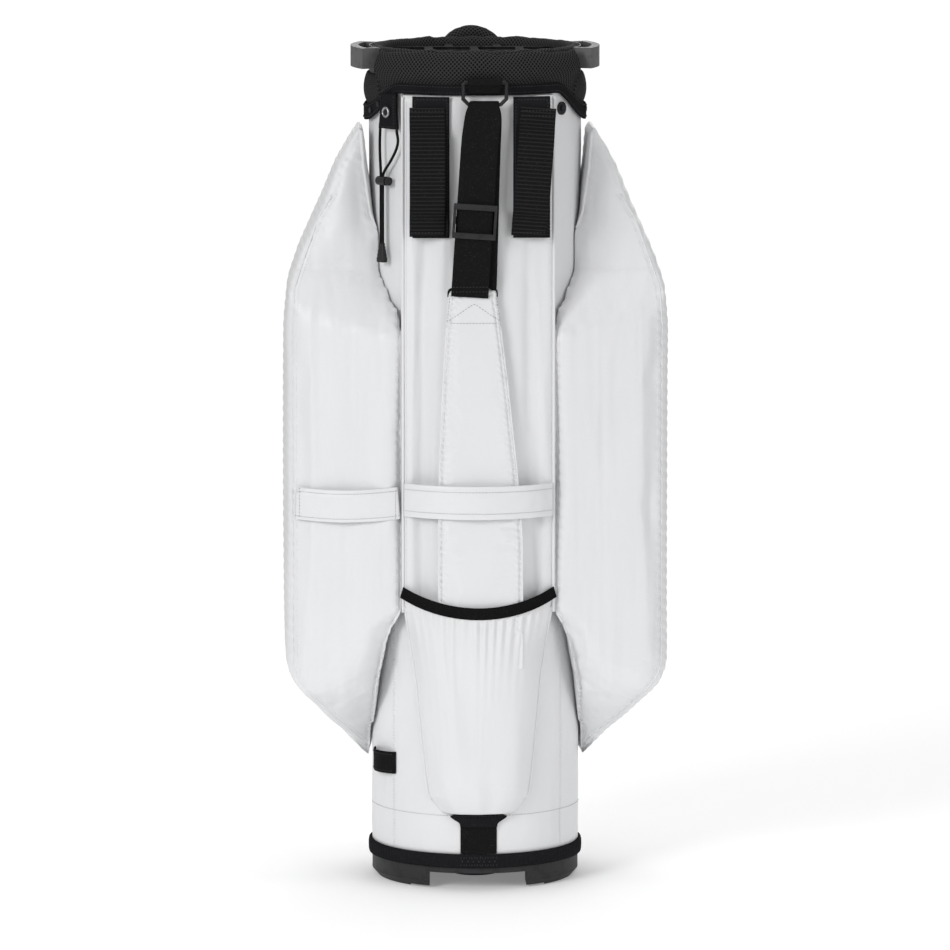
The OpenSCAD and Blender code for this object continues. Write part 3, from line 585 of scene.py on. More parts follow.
def ripstop_group(name):
    """Fine ribs with a raised square grid."""
    tree, i, o = group(name, {"Rib pitch": 0.0014, "Grid pitch": 0.0056}, ["Height"])
    x, y, z = split(tree, i["Vector"])
    ribs = wave(tree, z, i["Rib pitch"])
    across = plus(tree, x, times(tree, y, 0.7))
    grid = above(tree, wave(tree, across, i["Grid pitch"]), 0.93)
    rows = above(tree, wave(tree, z, i["Grid pitch"]), 0.93)
    lines = maths(tree, "MAXIMUM", grid, rows)
    tree.links.new(plus(tree, times(tree, ribs, 0.5), times(tree, lines, 0.5)), o["Height"])
    return tree


def weave_group(name):
    """Crossing threads, and every third row as a rib."""
    tree, i, o = group(name, {"Pitch": 0.0012, "Slant": 1.0}, ["Height", "Rib"])
    u, v, _ = split(tree, i["Vector"])
    # Rib marks every third row, where a painted highlight goes
    tree.links.new(above(tree, wave(tree, v, times(tree, i["Pitch"], 3.0)), 0.6), o["Rib"])
    a = wave(tree, plus(tree, u, times(tree, v, i["Slant"])), i["Pitch"])
    b = wave(tree, minus(tree, u, v), i["Pitch"])
    tree.links.new(plus(tree, times(tree, a, 0.6), times(tree, b, 0.25)), o["Height"])
    return tree


def mesh_group(name):
    """Slanting rows of round holes."""
    tree, i, o = group(name, {"Pitch": 0.0035}, ["Height", "Hole"])
    u, v, _ = split(tree, i["Vector"])
    a = wave(tree, plus(tree, u, v), i["Pitch"])
    b = wave(tree, minus(tree, u, v), i["Pitch"])
    hole = ramp(tree, plus(tree, a, b), -0.2, 0.9, "SMOOTHSTEP")
    tree.links.new(hole, o["Hole"])
    tree.links.new(minus(tree, 1.0, hole), o["Height"])
    return tree


def mottle_group(name):
    """Slow and fine changes of tone, with specks of dust."""
    inputs = {"Color": (0.5, 0.5, 0.5, 1), "Spread": 0.1, "Dust": 0.1}
    tree, i, o = group(name, inputs, ["Color", "Fac"])
    wide = noise_node(tree, i["Vector"], 14.0)
    fine = noise_node(tree, i["Vector"], 260.0, 2.0)
    tone = plus(tree, times(tree, wide, 0.7), times(tree, fine, 0.3))
    shade = tree.nodes.new("ShaderNodeHueSaturation")
    gain = plus(tree, 1.0, times(tree, minus(tree, tone, 0.5), i["Spread"]))
    tree.links.new(gain, shade.inputs["Value"])
    tree.links.new(i["Color"], shade.inputs["Color"])
    speck = above(tree, noise_node(tree, i["Vector"], 900.0, 1.0), 0.68)
    share = times(tree, speck, i["Dust"])
    tree.links.new(tint(tree, share, shade.outputs["Color"], DUST_COLOUR), o["Color"])
    tree.links.new(tone, o["Fac"])
    return tree


def grain_group(name):
    """The fine cells of a moulded or foamed face."""
    tree, i, o = group(name, {"Scale": 700.0}, ["Height"])
    cell = tree.nodes.new("ShaderNodeTexVoronoi")
    tree.links.new(i["Vector"], cell.inputs["Vector"])
    tree.links.new(i["Scale"], cell.inputs["Scale"])
    fine = times(tree, noise_node(tree, i["Vector"], i["Scale"]), 0.5)
    tree.links.new(plus(tree, cell.outputs["Distance"], fine), o["Height"])
    return tree


def wear_group(name):
    """Patches of wear on sharp edges."""
    tree, i, o = group(name, {"Pointiness": 0.5, "Amount": 0.5}, ["Mask"])
    edge = ramp(tree, i["Pointiness"], 0.51, 0.6)
    patch = above(tree, noise_node(tree, i["Vector"], 90.0), 0.45)
    tree.links.new(times(tree, times(tree, edge, patch), i["Amount"], True), o["Mask"])
    return tree


GROUPS = {
    "ripstop": ("Ripstop weave", ripstop_group),
    "weave": ("Twill weave", weave_group),
    "mesh": ("Open mesh", mesh_group),
    "mottle": ("Tone and dust", mottle_group),
    "grain": ("Moulded grain", grain_group),
    "wear": ("Edge wear", wear_group),
}


def shared(kind):
    """The shader group of that kind, built once."""
    name, make = GROUPS[kind]
    return bpy.data.node_groups.get(name) or make(name)


# ---- materials ----

# slot -> pattern, pitch in metres (scale for grain), depth in millimetres, colour, roughness,
# specular level and metal
FINISHES = {
    "ripstop_white": ("ripstop", 0.0014, 0.035, "white", 0.46, 0.45, 0.0),
    "panel_white": ("ripstop", 0.0014, 0.030, "white", 0.46, 0.45, 0.0),
    "pad_white": ("ripstop", 0.0014, 0.035, "white", 0.46, 0.45, 0.0),
    "twill_black": ("weave", 0.0012, 0.12, "twill", 0.80, 0.02, 0.0),
    "webbing_black": ("weave", 0.0014, 0.12, "webbing", 0.60, 0.04, 0.0),
    # cart loop webbing whose ribs get a painted highlight
    "loop_black": ("weave", 0.0014, 0.12, "webbing", 0.60, 0.04, 0.0),
    "elastic_black": ("weave", 0.0010, 0.10, "webbing", 0.80, 0.02, 0.0),
    "mesh_black": ("mesh", 0.0042, 0.90, "mesh", 0.80, 0.06, 0.0),
    "moulded_black": ("grain", 700.0, 0.06, "moulded", 0.55, 0.20, 0.0),
    # lighter grey, a painted highlight for the top light and gloss on the collar frame's handles
    "handle_grey": ("grain", 700.0, 0.04, "handle", 0.50, 0.15, 0.0),
    "divider_black": ("grain", 900.0, 0.10, "webbing", 0.80, 0.04, 0.0),
    "divider_fabric": ("weave", 0.0009, 0.08, "twill", 0.90, 0.02, 0.0),
    "tube_board": ("grain", 500.0, 0.03, "moulded", 0.70, 0.2, 0.0),
    "foam_grey": ("grain", 400.0, 0.20, "foam", 0.90, 0.1, 0.0),
    "stay_metal": ("grain", 900.0, 0.01, "bright_metal", 0.30, 0.5, 1.0),
    "steel_dark": ("grain", 900.0, 0.015, "dark_metal", 0.38, 0.4, 0.6),
    "zip_tape": ("weave", 0.0010, 0.08, "webbing", 0.80, 0.05, 0.0),
    "zip_metal": ("grain", 900.0, 0.015, "dark_metal", 0.40, 0.4, 0.6),
    "zip_pull": ("weave", 0.0012, 0.08, "webbing", 0.60, 0.15, 0.0),
    "cord_black": ("grain", 1400.0, 0.15, "webbing", 0.70, 0.05, 0.0),
    "cord_fittings": ("grain", 800.0, 0.03, "moulded", 0.42, 0.2, 0.0),
    "thread_grey": ("weave", 0.0005, 0.03, "grey_thread", 0.60, 0.2, 0.0),
    "thread_white": ("weave", 0.0005, 0.03, "white", 0.60, 0.2, 0.0),
    "thread_pale": ("weave", 0.0005, 0.03, "pale_thread", 0.60, 0.2, 0.0),
}
UV_PATTERNS = ("weave", "mesh")
# slots whose rib rows are painted lighter, a painted highlight for light on the ribs
RIB_HIGHLIGHT_SLOTS = ("loop_black",)
THREAD_SLOT = {
    "thread_grey": "twill_black",
    "thread_white": "ripstop_white",
    "thread_pale": "ripstop_white",
}


def material(slot):
    """The procedural material of a finish, built once."""
    name = "bag_" + slot
    if name in bpy.data.materials:
        return bpy.data.materials[name]
    kind, pitch, depth, colour_name, rough, specular, metal = FINISHES[slot]
    mat = bpy.data.materials.new(name)
    mat.use_nodes = True
    tree = mat.node_tree
    shader = tree.nodes["Principled BSDF"]
    shader.inputs["Specular IOR Level"].default_value = specular
    shader.inputs["Metallic"].default_value = metal
    where = tree.nodes.new("ShaderNodeTexCoord").outputs["Object"]

    def place(kind, vector, **values):
        n = tree.nodes.new("ShaderNodeGroup")
        n.node_tree = shared(kind)
        tree.links.new(vector, n.inputs["Vector"])
        for key, value in values.items():
            n.inputs[key.replace("_", " ")].default_value = value
        return n

    base = tuple(getattr(bpy.context.scene.bag_colours, colour_name))
    spread, dust = (0.06, 0.0) if colour_name == "white" else (0.25, 0.05)
    tone = place("mottle", where, Color=(*base, 1), Spread=spread, Dust=dust)
    colour = tone.outputs["Color"]
    if kind in UV_PATTERNS:
        uv = tree.nodes.new("ShaderNodeUVMap")
        uv.uv_map = "flat"
        pattern = place(kind, uv.outputs["UV"], Pitch=pitch)
    elif kind == "ripstop":
        pattern = place(kind, where, Rib_pitch=pitch, Grid_pitch=pitch * 4)
    else:
        pattern = place(kind, where, Scale=pitch)
    # painted shade: the mesh holes are painted near black for the shade inside them
    if kind == "mesh":
        colour = tint(tree, pattern.outputs["Hole"], colour, (0.003, 0.003, 0.003))
    # painted highlight: rib rows made lighter to stand for light catching on the ribs
    if slot in RIB_HIGHLIGHT_SLOTS:
        colour = tint(tree, pattern.outputs["Rib"], colour, [c * 2.6 for c in base])
    if kind == "grain":
        point = tree.nodes.new("ShaderNodeNewGeometry").outputs["Pointiness"]
        wear = place("wear", where, Amount=0.12)
        tree.links.new(point, wear.inputs["Pointiness"])
        worn = [min(1.0, c * 2.2 + 0.03) for c in base]
        colour = tint(tree, wear.outputs["Mask"], colour, worn)
    tree.links.new(colour, shader.inputs["Base Color"])
    gloss = plus(tree, rough - 0.08, times(tree, tone.outputs["Fac"], 0.16))
    tree.links.new(gloss, shader.inputs["Roughness"])
    bump = tree.nodes.new("ShaderNodeBump")
    bump.inputs["Strength"].default_value = 0.6
    bump.inputs["Distance"].default_value = depth * MM
    tree.links.new(pattern.outputs["Height"], bump.inputs["Height"])
    tree.links.new(bump.outputs["Normal"], shader.inputs["Normal"])
    return mat


# ---- stage and cords ----


def make_stage():
    """Pale floor, soft studio light and the camera."""
    s = bpy.context.scene.bag_stage
    scene = bpy.context.scene
    scene.view_settings.view_transform = "Standard"
    world = bpy.data.worlds.new("Studio") if scene.world is None else scene.world
    scene.world = world
    world.use_nodes = True
    tree = world.node_tree
    sky = tree.nodes["Background"]
    sky.inputs["Color"].default_value = (1, 1, 1, 1)
    seen = tree.nodes.new("ShaderNodeLightPath").outputs["Is Camera Ray"]
    lift = times(tree, seen, 1.02 - s.sky)
    tree.links.new(plus(tree, lift, s.sky), sky.inputs["Strength"])
    mesh = bpy.data.meshes.new("floor")
    w = s.floor_size / 2
    mesh.from_pydata([(-w, -w, 0), (w, -w, 0), (w, w, 0), (-w, w, 0)], [], [(0, 1, 2, 3)])
    floor = link(bpy.data.objects.new("floor", mesh))
    mat = bpy.data.materials.new("floor_paper")
    mat.use_nodes = True
    paper = mat.node_tree.nodes["Principled BSDF"].inputs
    paper["Base Color"].default_value = (0.9, 0.9, 0.9, 1)
    paper["Roughness"].default_value = 0.9
    paper["Specular IOR Level"].default_value = 0.0
    paper["Emission Color"].default_value = (1, 1, 1, 1)
    paper["Emission Strength"].default_value = s.floor_glow
    mesh.materials.append(mat)
    lights = [
        ("key", (-2.6, -3.2, 2.0), 1.5, s.key),
        ("fill", (2.8, -3.0, 1.0), 2.2, s.key * 0.42),
        ("top", (0.2, 0.4, 3.6), 2.4, s.key * 0.5),
        ("back", (0.4, 3.6, 1.8), 2.4, s.key * 0.45),
    ]
    for name, at, size, power in lights:
        data = bpy.data.lights.new(name, "AREA")
        data.size, data.energy = size, power
        lamp = link(bpy.data.objects.new(name, data))
        lamp.location = at
        lamp.rotation_euler = (Vector((0, 0, 0.45)) - Vector(at)).to_track_quat("-Z", "Y").to_euler()
    az, el = s.azimuth, s.elevation
    target = Vector((0, 0, s.target_height))
    away = Vector((-math.sin(-az) * math.cos(el), -math.cos(az) * math.cos(el), math.sin(el)))
    camera = bpy.data.cameras.new("camera")
    camera.lens, camera.sensor_width = s.lens, 36
    view = link(bpy.data.objects.new("camera", camera))
    view.location = target + away * s.distance
    view.rotation_euler = (target - view.location).to_track_quat("-Z", "Y").to_euler()
    scene.camera = view


def cord_path(route):
    """The points of one strand, in metres, with its corners rounded."""
    points = [turned(x, CORD_REACH, TAB_FOOT_Z + dz) for x, dz in route]
    path, _ = even(points, 3.0, 2)
    return path * MM


def make_cords():
    """The two strands of the umbrella cord and the ribbed end that joins them."""
    heights = np.array([0, -2, -4, -6, -8, -10, -12, -14, -16, -18, -20], float)
    rings = []
    for row, h in enumerate(heights):
        wide = np.interp(-h, [0, 18, 20], [3.5, 6.6, 6.1]) - (0.5 if row % 2 else 0.0)
        deep = np.interp(-h, [0, 18, 20], [2.2, 3.9, 3.4]) - (0.4 if row % 2 else 0.0)
        angle = np.arange(24) / 24 * TAU
        x = np.sign(np.cos(angle)) * np.abs(np.cos(angle)) ** 0.5 * wide
        d = np.sign(np.sin(angle)) * np.abs(np.sin(angle)) ** 0.5 * deep
        rings.append([turned(-11 + a, CORD_REACH + b, 693 + h) for a, b in zip(x, d)])
    end = finish(loft("cord_end_grip", rings), BAG, "cord_fittings", "cord_end")
    for name, route, node in (
        ("cord_strand_left", CORD_LEFT, "umbrella_cord_left"),
        ("cord_strand_right", CORD_RIGHT, "umbrella_cord_right"),
    ):
        path = cord_path(route)
        curve = bpy.data.curves.new(name, "CURVE")
        curve.dimensions, curve.bevel_depth, curve.bevel_resolution = "3D", 0.0015, 3
        curve.use_fill_caps = True
        spline = curve.splines.new("POLY")
        spline.points.add(len(path) - 1)
        spline.points.foreach_set("co", np.hstack([path, np.ones((len(path), 1))]).ravel())
        obj = link(bpy.data.objects.new(name, curve))
        finish(obj, BAG, "cord_black", node)


# ---- covers ----


def wrap_folds(depth, size, seed, low, high):
    """A bend for turned covers: folds on the outer skin that fade at both ends."""

    def bend(angle, r, z):
        p = around(110, angle, z)
        outer = (r > 110) & (z > low + 1) & (z < high - 1)
        fade = step(low, low + 25, z) * (1 - step(high - 20, high, z))
        ends = 0.7 * depth * folds(p, (14, 14, 60), seed + 9) * (1 - fade) * 0.5
        return r + np.where(outer, folds(p, size, seed) * depth * fade + ends, 0), z

    return bend


def wrap(name, profile, bend, node):
    """White cloth turned from its profile, which gets an even number of points."""
    r, z = profile[-1]
    profile = profile + [(r + 1, z)] * (len(profile) % 2)
    return finish(turn(name, profile, 288, bend), BAG, "ripstop_white", node)


def make_covers():
    """The white cloth round the tube, the lower skirt and the padded rear panel."""
    heights = np.linspace(WAIST_Z, COVER_HIGH, 96)
    outer = [(SKIRT_R + (COVER_TOP_R - SKIRT_R) * (z - WAIST_Z) / 523.2, z) for z in heights]
    outer[0] = (SKIRT_R - 1.2, WAIST_Z)
    profile = outer + [(COVER_TOP_R, 860), (COVER_TOP_R - 0.8, 867.2)]
    profile += [(COVER_BACK_R, 867.2), (COVER_BACK_R, 600), (COVER_BACK_R, WAIST_Z)]
    wrap("cover_cloth", profile, wrap_folds(0.9, (26, 26, 150), 3, WAIST_Z, COVER_HIGH), "body_cover")
    outer = [(SKIRT_R, z) for z in np.linspace(39.6, 328, 64)]
    profile = [(SKIRT_R - 1.0, SKIRT_LOW), *outer, (SKIRT_R - 1.0, SKIRT_HIGH)]
    profile += [(COVER_BACK_R, SKIRT_HIGH), (COVER_BACK_R, SKIRT_LOW)]
    bend = wrap_folds(0.8, (30, 30, 90), 8, SKIRT_LOW, SKIRT_HIGH)
    skirt = wrap("skirt_cloth", profile, bend, "lower_skirt")
    make_rear_panel()
    rows = [[(side * x, -65, z) for z in (42, 180, 322)] for side in (-1, 1) for x in (85, 88)]
    sew_on(skirt, BAG, "thread_white", rows, "axis")
    rows = [[(120 * math.sin(a), -120 * math.cos(a), 80.5) for a in np.linspace(-1.5, 1.5, 60)]]
    sew_on(skirt, BAG, "thread_pale", rows, "axis")


def make_rear_panel():
    """The padded rear panel, with a channel at each side of the strap and welts at its edges."""
    z = np.linspace(PANEL_LOW, 853.2, 160)[:, None]
    x = PANEL_HALF_W * bunched(90)[None, :] + 0 * z
    side = np.sign(x)
    drop = 2.2 * np.clip((np.abs(x) - 75) / 5, 0, 1) ** 2.2
    ends = 3.0 * (1 - np.clip((z - PANEL_LOW) / 6, 0, 1)) ** 2 + 3.0 * np.clip((z - 847.2) / 6, 0, 1) ** 2
    front = xyz(x, -(panel_face(x) - drop - ends), z)
    under = 1 - 0.75 * step(60, 40, np.abs(x)) * step(668, 640, z + 0 * x)
    press = folds(front, (20, 60, 230), 21) - 1
    soft = folds(front, (11, 40, 90), 24) - 1
    front[..., 1] -= (press * 2.2 + soft * 0.8) * under * (1 - 0.7 * step(60, 80, np.abs(x)))
    waver = 6 * noise(xyz(side, 0, z / 150), 27)
    groove = np.exp(-((np.abs(x) - 55 - waver) / 7) ** 2) - 0.35 * np.exp(-((np.abs(x) - 70) / 5) ** 2)
    front[..., 1] += 4.6 * groove * (0.75 + 0.25 * noise(xyz(side, 0, z / 60), 28)) * under
    back = xyz(x, -np.sqrt(114.6**2 - x**2), z)
    panel = loft("rear_panel_cloth", np.concatenate([front, back[:, ::-1]], 1))
    finish(panel, BAG, "panel_white", "rear_panel")
    for side, label in SIDES:
        route = [(side * 80.3, -100.4, z) for z in (300, 500, 700, 852)]
        finish(tube("rear_panel_welt_" + label, route, 1.7, 10, 4.0, 1), BAG, "panel_white")
    rows = [[(side * 76.5, -150, z) for z in (306, 500, 846)] for side, _ in SIDES]
    sew_on(panel, BAG, "thread_white", rows)


def make_base():
    """The knit binding over the joint of the moulded base."""
    profile = [(111.9, 24.6), (114.6, 24.4), (115.2, 27), (115.4, 31.8), (115.2, 36.6), (114.6, 39.1),
               (111.9, 38.9), (111.9, 31)]

    def pucker(angle, r, z):
        return r + 0.25 * np.sin(angle * 130) * (r > 113), z

    ring = turn("base_knit_binding", profile, 720, pucker)
    finish(ring, BAG, "twill_black", "base_binding")
    rows = []
    for k in range(-3, 4):
        for dz in (-4, 4):
            ends = ((k * 0.05 - 0.014, 31.8 - dz), (k * 0.05 + 0.014, 31.8 + dz))
            rows.append([(116 * math.sin(a), -116 * math.cos(a), z) for a, z in ends])
    sew(BAG, "thread_grey", rows)
# ---- collar ----


def pad_top(angle):
    """Height of the collar pad's top round the bag, with bumps where the dividers end."""
    x, y = 121 * np.cos(angle), 121 * np.sin(angle)
    top = 898.4 + 1.0 * np.sin(angle * 11 + 0.4) + 0.6 * np.sin(angle * 23)
    top += 1.6 * np.exp(-((np.abs(x) - 49) / 9) ** 2) + 1.6 * np.exp(-(x / 9) ** 2)
    handle = step(62, 57, np.abs(y)) * step(52, 56, np.abs(x))
    grip = step(50, 47, np.abs(x)) * step(-1, 1, y)
    return top * (1 - handle) * (1 - grip) + 872.0 * handle * (1 - grip) + 866.6 * grip


def collar_dip(angle):
    """How far, from 0 to 1, the collar's band has dropped towards the bag's sides."""
    return step(84, 121, np.abs(118.7 * np.cos(angle))) ** 0.9


def make_collar_pad():
    """The mesh-covered collar pad, squeezed under the handles, and its lining over the rim."""
    profile = [(113.9, 856), (115.4, 855.2), (117.3, 856), (117.5, 860), (117.5, 865.6), (118.8, 867.5),
               (121.4, 871), (123.4, 875.5), (124.2, 880), (123.9, 885), (122.4, 890), (120.2, 894.2),
               (118.0, 897), (115.6, 898.2), (114.3, 897), (113.9, 892), (113.9, 880), (113.9, 868)]

    def bend(angle, r, z):
        top = pad_top(angle)
        share = np.clip((z - 866) / (898.2 - 866), 0, 1)
        high = np.where(z > 866, 866 + share * (top - 866), z)
        puff = folds(around(120, angle, z), (18, 18, 30), 41)
        flat = np.clip((top - 872.1) / 20, 0, 1)
        flare = 3.0 * flat * step(66, 104, np.abs(120 * np.cos(angle))) * np.clip((z - 864) / 16, 0, 1)
        flare = flare - 0.45 * (r - 113.9) * (1 - flat)
        r = r + (puff * 0.6 * share * flat + flare) * (r > 115)
        high = high - 28 * collar_dip(angle) * np.clip((872 - z) / 16, 0, 1)
        low = 855.2 - 28 * collar_dip(angle)
        round_side = low + np.clip((z - 855.2) / 43, 0, 1) * (top - low)
        return r, high * flat + round_side * (1 - flat)

    pad = turn("collar_mesh_pad", profile, 640, bend)
    finish(pad, BAG, "mesh_black", "collar_pad")

    profile = [(113.6, 892), (113.6, 897), (112.6, 899), (110, 900.2), (106, 900.6), (102.4, 899.6),
               (100, 897.2), (98.9, 893), (98.6, 886), (98.7, 880), (99.7, 880), (99.8, 886),
               (99.9, 896.4), (113.2, 896.4)]

    def swell(angle, r, z):
        bumps = sum(np.exp(-((np.abs(106 * np.cos(angle)) - at) / 8) ** 2) for at in (0, 49))
        puff = folds(around(110, angle, z), (12, 12, 30), 44)
        return r, z + (1.4 * bumps + 0.7 * puff) * (z > 897)

    finish(turn("collar_mesh_lining", profile, 480, swell), BAG, "mesh_black")


def make_collar_band():
    """The twill band under the collar pad, stitched along both edges."""
    shares = np.linspace(0, 1, 14)
    profile = [(119.5, t) for t in shares] + [(117.85, t) for t in shares[::-1]]

    def fall(angle, r, t):
        low = 854.4 - 34 * collar_dip(angle)
        high = 865.4 - 28 * collar_dip(angle)
        edge = 0.5 * (np.abs(t - 0.5) * 2) ** 8
        return np.where(r > 118.6, r - edge, r), low + (high - low) * t

    finish(turn("collar_twill_band", profile, 480, fall), BAG, "twill_black", "collar_binding")
    rows = []
    for level, drop in ((857.0, 34), (863.2, 28)):
        ring = np.linspace(0, TAU, 400)[:-1]
        rows.append([(119.9 * math.cos(a), 119.9 * math.sin(a), level - drop * collar_dip(a)) for a in ring])
    sew(BAG, "thread_grey", rows)


def make_grip():
    """The mesh-covered carrying arch at the front of the collar."""

    def arch(y, gap):
        angles = np.linspace(gap, math.pi - gap, 40)
        return [(31 * math.cos(a), y, 872.5 + 31 * math.sin(a)) for a in angles]

    grip = tube("grip_mesh_arch", arch(122.5, 0.02), lambda t: 8.2 + 0.35 * np.sin(t * math.pi), 32, 1.6)
    points = coords(grip)
    set_coords(grip, points + normals(grip) * (folds(points, (7, 7, 7), 51) * 0.35)[..., None])
    finish(grip, BAG, "mesh_black", "front_grip")
    sew(BAG, "thread_grey", [arch(122.5 + 8.5, 0.1)])


def make_collar():
    """The collar pad, the twill band below it and the front grip."""
    make_collar_pad()
    make_collar_band()
    make_grip()


def make_interior():
    """Materials for the moulded frame, dividers, tube, rods and metal fittings."""
    for node, obj in frame["nodes"].items():
        if obj.hide_render:
            continue
        slot = next(p["material_slot"] for p in frame["record"]["subparts"] if p["node"] == node)
        obj.data.materials.clear()
        obj.data.materials.append(material(PLAIN.get(node) or PLAIN.get(slot, slot)))
        edge = obj.modifiers.new("Soft edges", "BEVEL")
        edge.width, edge.segments, edge.limit_method = 0.0004, 2, "ANGLE"
        edge.angle_limit = math.radians(40)


# frame pieces carry no flat map, so their cloth finishes use patterns on plain coordinates
PLAIN = {
    "divider_fabric": "foam_grey",
    "zip_pull": "cord_fittings",
    # the collar frame gets the lighter grey, a painted highlight for light and gloss on its handles
    "collar_frame": "handle_grey",
    "divider_grid": "divider_black",
}


# ---- strap ----


def make_ring_loop():
    """The short webbing loop that holds the steel ring."""
    path = [(5.8, -123.0, 857), (5.8, -123.4, 863), (5.8, -124.6, 868), (5.8, -125.6, 871.6),
            (5.8, -128.5, 872.6), (5.8, -131.2, 871.6), (5.8, -131.9, 869), (5.8, -131.2, 866.4),
            (5.8, -128.8, 865.2), (5.8, -126.4, 861), (5.8, -125.1, 857)]
    loop = band("ring_webbing_loop", path, (1, 0, 0), 1.7, 18.2, 15, rib=(2.6, 0.18), cuts=2)
    finish(loop, BAG, "webbing_black", "ring_loop")


def strap_route():
    """The webbing's path: up behind, over the ring's low bar and down in front to its tail."""
    points = [(-1.2, -125.25, 650, 19.8), (0.8, -125.25, 720, 19.8), (2.8, -125.25, 790, 19.6),
              (4.4, -125.25, 826, 19.6), (5.0, -125.3, 837, 18.6), (5.4, -125.25, 845, 15.8),
              (5.5, -126.2, 848, 15.6), (5.5, -128.5, 849.0, 15.5), (5.3, -130.8, 848, 15.6),
              (5.0, -131.75, 845, 16.0), (4.6, -131.75, 838, 18.8), (3.6, -131.75, 828, 19.7)]
    points += [(3.3 - (845.6 - z) * STRAP_LEAN, -131.75, z, 19.8) for z in (808, 780, 740, 700, 670, 641.5)]
    return points


def make_strap_webbing():
    """The strap's webbing, stitched where its tail ends."""
    strap = band("strap_webbing_run", strap_route(), (1, 0, 0), 1.6, None, 21, rib=(2.4, 0.2), cuts=2)
    finish(strap, STRAP, "webbing_black", "strap_webbing")
    rows = []
    for z in (647.5, 652.5):
        c = 3.3 - (845.6 - z) * STRAP_LEAN
        rows.append([(c - 17.5, -150, z), (c + 17.5, -150, z)])
    sew_on(strap, STRAP, "thread_grey", rows)


def make_pad_cushion():
    """The stuffed pad with its sewn border, low wrinkles and a bottom tucked into the pocket."""
    body = link(bpy.data.objects.new("strap_pad_cushion", frame["nodes"]["strap_pad"].data.copy()))
    body.modifiers.new("Merge", "WELD").merge_threshold = 0.0001
    bake_modifiers(body)
    centre = np.array([1.8, -123.5, 445])
    set_coords(body, centre + (coords(body) - centre) * np.array([0.985, 0.86, 0.995]))
    inflate(body, 3.6, 3.0, (0.05, 1, 0.05), pressure=5.0, smooth=2)
    refine(body)
    p = coords(body)
    reach = distance(p, fill(PAD_OUTLINE, 3.0))
    front = step(-0.2, 0.5, -normals(body)[:, 1])
    seam = np.exp(-((reach - 6.5) / 1.1) ** 2)
    pucker = np.exp(-((reach - 6.5) / 5) ** 2) * 0.35 * np.sin(p[:, 2] * 0.9 + p[:, 0] * 0.7)
    push = -1.8 * seam + 1.5 * pucker + 1.0 * folds(p, (30, 60, 34), 61) * step(3, 18, reach)
    low = np.exp(-((p[:, 2] - 375) / 26) ** 2) + np.exp(-((p[:, 2] - 470) / 22) ** 2)
    push += 1.7 * folds(p, (60, 60, 11), 66) * low * step(3, 14, reach)
    p[:, 1] -= push * front
    p[:, 1] = np.clip(p[:, 1], PAD_FRONT_Y, -119.2 + 4)
    p[:, 1] = np.maximum(p[:, 1], PAD_FRONT_Y + 6.0 * step(0, 20, 292 - p[:, 2]))
    set_coords(body, p)
    finish(body, STRAP, "pad_white", "strap_pad")
    return body


def make_strap():
    """The strap webbing and the stuffed strap pad that hangs from it."""
    make_strap_webbing()
    body = make_pad_cushion()
    box = [(-30.6, 646), (-33.6, 613.5), (22.4, 613.5), (17.4, 646)]
    peak = [(-31.0, 617), (-5.2, 634.5), (19.8, 617)]
    sew_on(body, STRAP, "thread_pale", [[(x, -160, z) for x, z in row] for row in (box, peak)])
    right = [(17.2, 641), (20.6, 610), (29.0, 543), (38, 459), (44.2, 382), (44.2, 290)]
    left = [(-30.2, 641), (-32.4, 610), (-36.6, 543), (-40.2, 459), (-40.8, 382), (-40.8, 290)]
    rows = [[(x, -160, z) for x, z in row] for row in (left, right)]
    sew_on(body, STRAP, "thread_white", rows, lift=0.1)
    for row, side, label in ((right, 1, "right"), (left, -1, "left")):
        route = lay(body, [(x + side * 1.8, -160, z) for x, z in row[1:]], AHEAD, lift=0.1, spacing=5)
        finish(tube("pad_welt_" + label, route, 1.1, 8, 3.0, 1), STRAP, "pad_white")
    for label, x, turn_x in (("left", -32.8, 7), ("right", 19.2, -7)):
        start = x + turn_x * 0.1
        path = [(start, -122.4, 641), (start, -123.2, 649), (x + turn_x, -123.2, 649.5)]
        finish(tube("pad_corner_trim_" + label, path, 1.5, 10, 1.2, 2), STRAP, "twill_black")


def make_lower_webbing():
    """The webbing that runs from the base up behind the sleeve pocket."""
    path = [(0, -112.75, z) for z in (39.6, 90, 160, 234.6)]
    strip = band("strap_lower_run", path, (-1, 0, 0), 1.5, 19.5, 21, rib=(2.8, 0.12),
                 lift=lambda s, v: -(112.7 - np.sqrt(112.7**2 - s**2)))
    finish(strip, BAG, "webbing_black", "strap_lower_webbing")


def crown_slab(name, x0, x1, z0, z1, front_y):
    """A stiff cloth backing with a flat front that fills the gap to the rear panel's crown."""
    z = np.linspace(z0, z1, 40)[:, None]
    x = np.linspace(x0, x1, 24)[None, :] + 0 * z
    edge = np.minimum(np.minimum(x - x0, x1 - x), np.minimum(z - z0, z1 - z))
    drop = 1.4 * np.clip(1 - edge / 2.2, 0, 1) ** 2
    front = xyz(x, -(front_y - drop), z)
    back = xyz(x, -(panel_face(x) + 0.4), z)
    return loft(name, np.concatenate([front, back[:, ::-1]], 1))


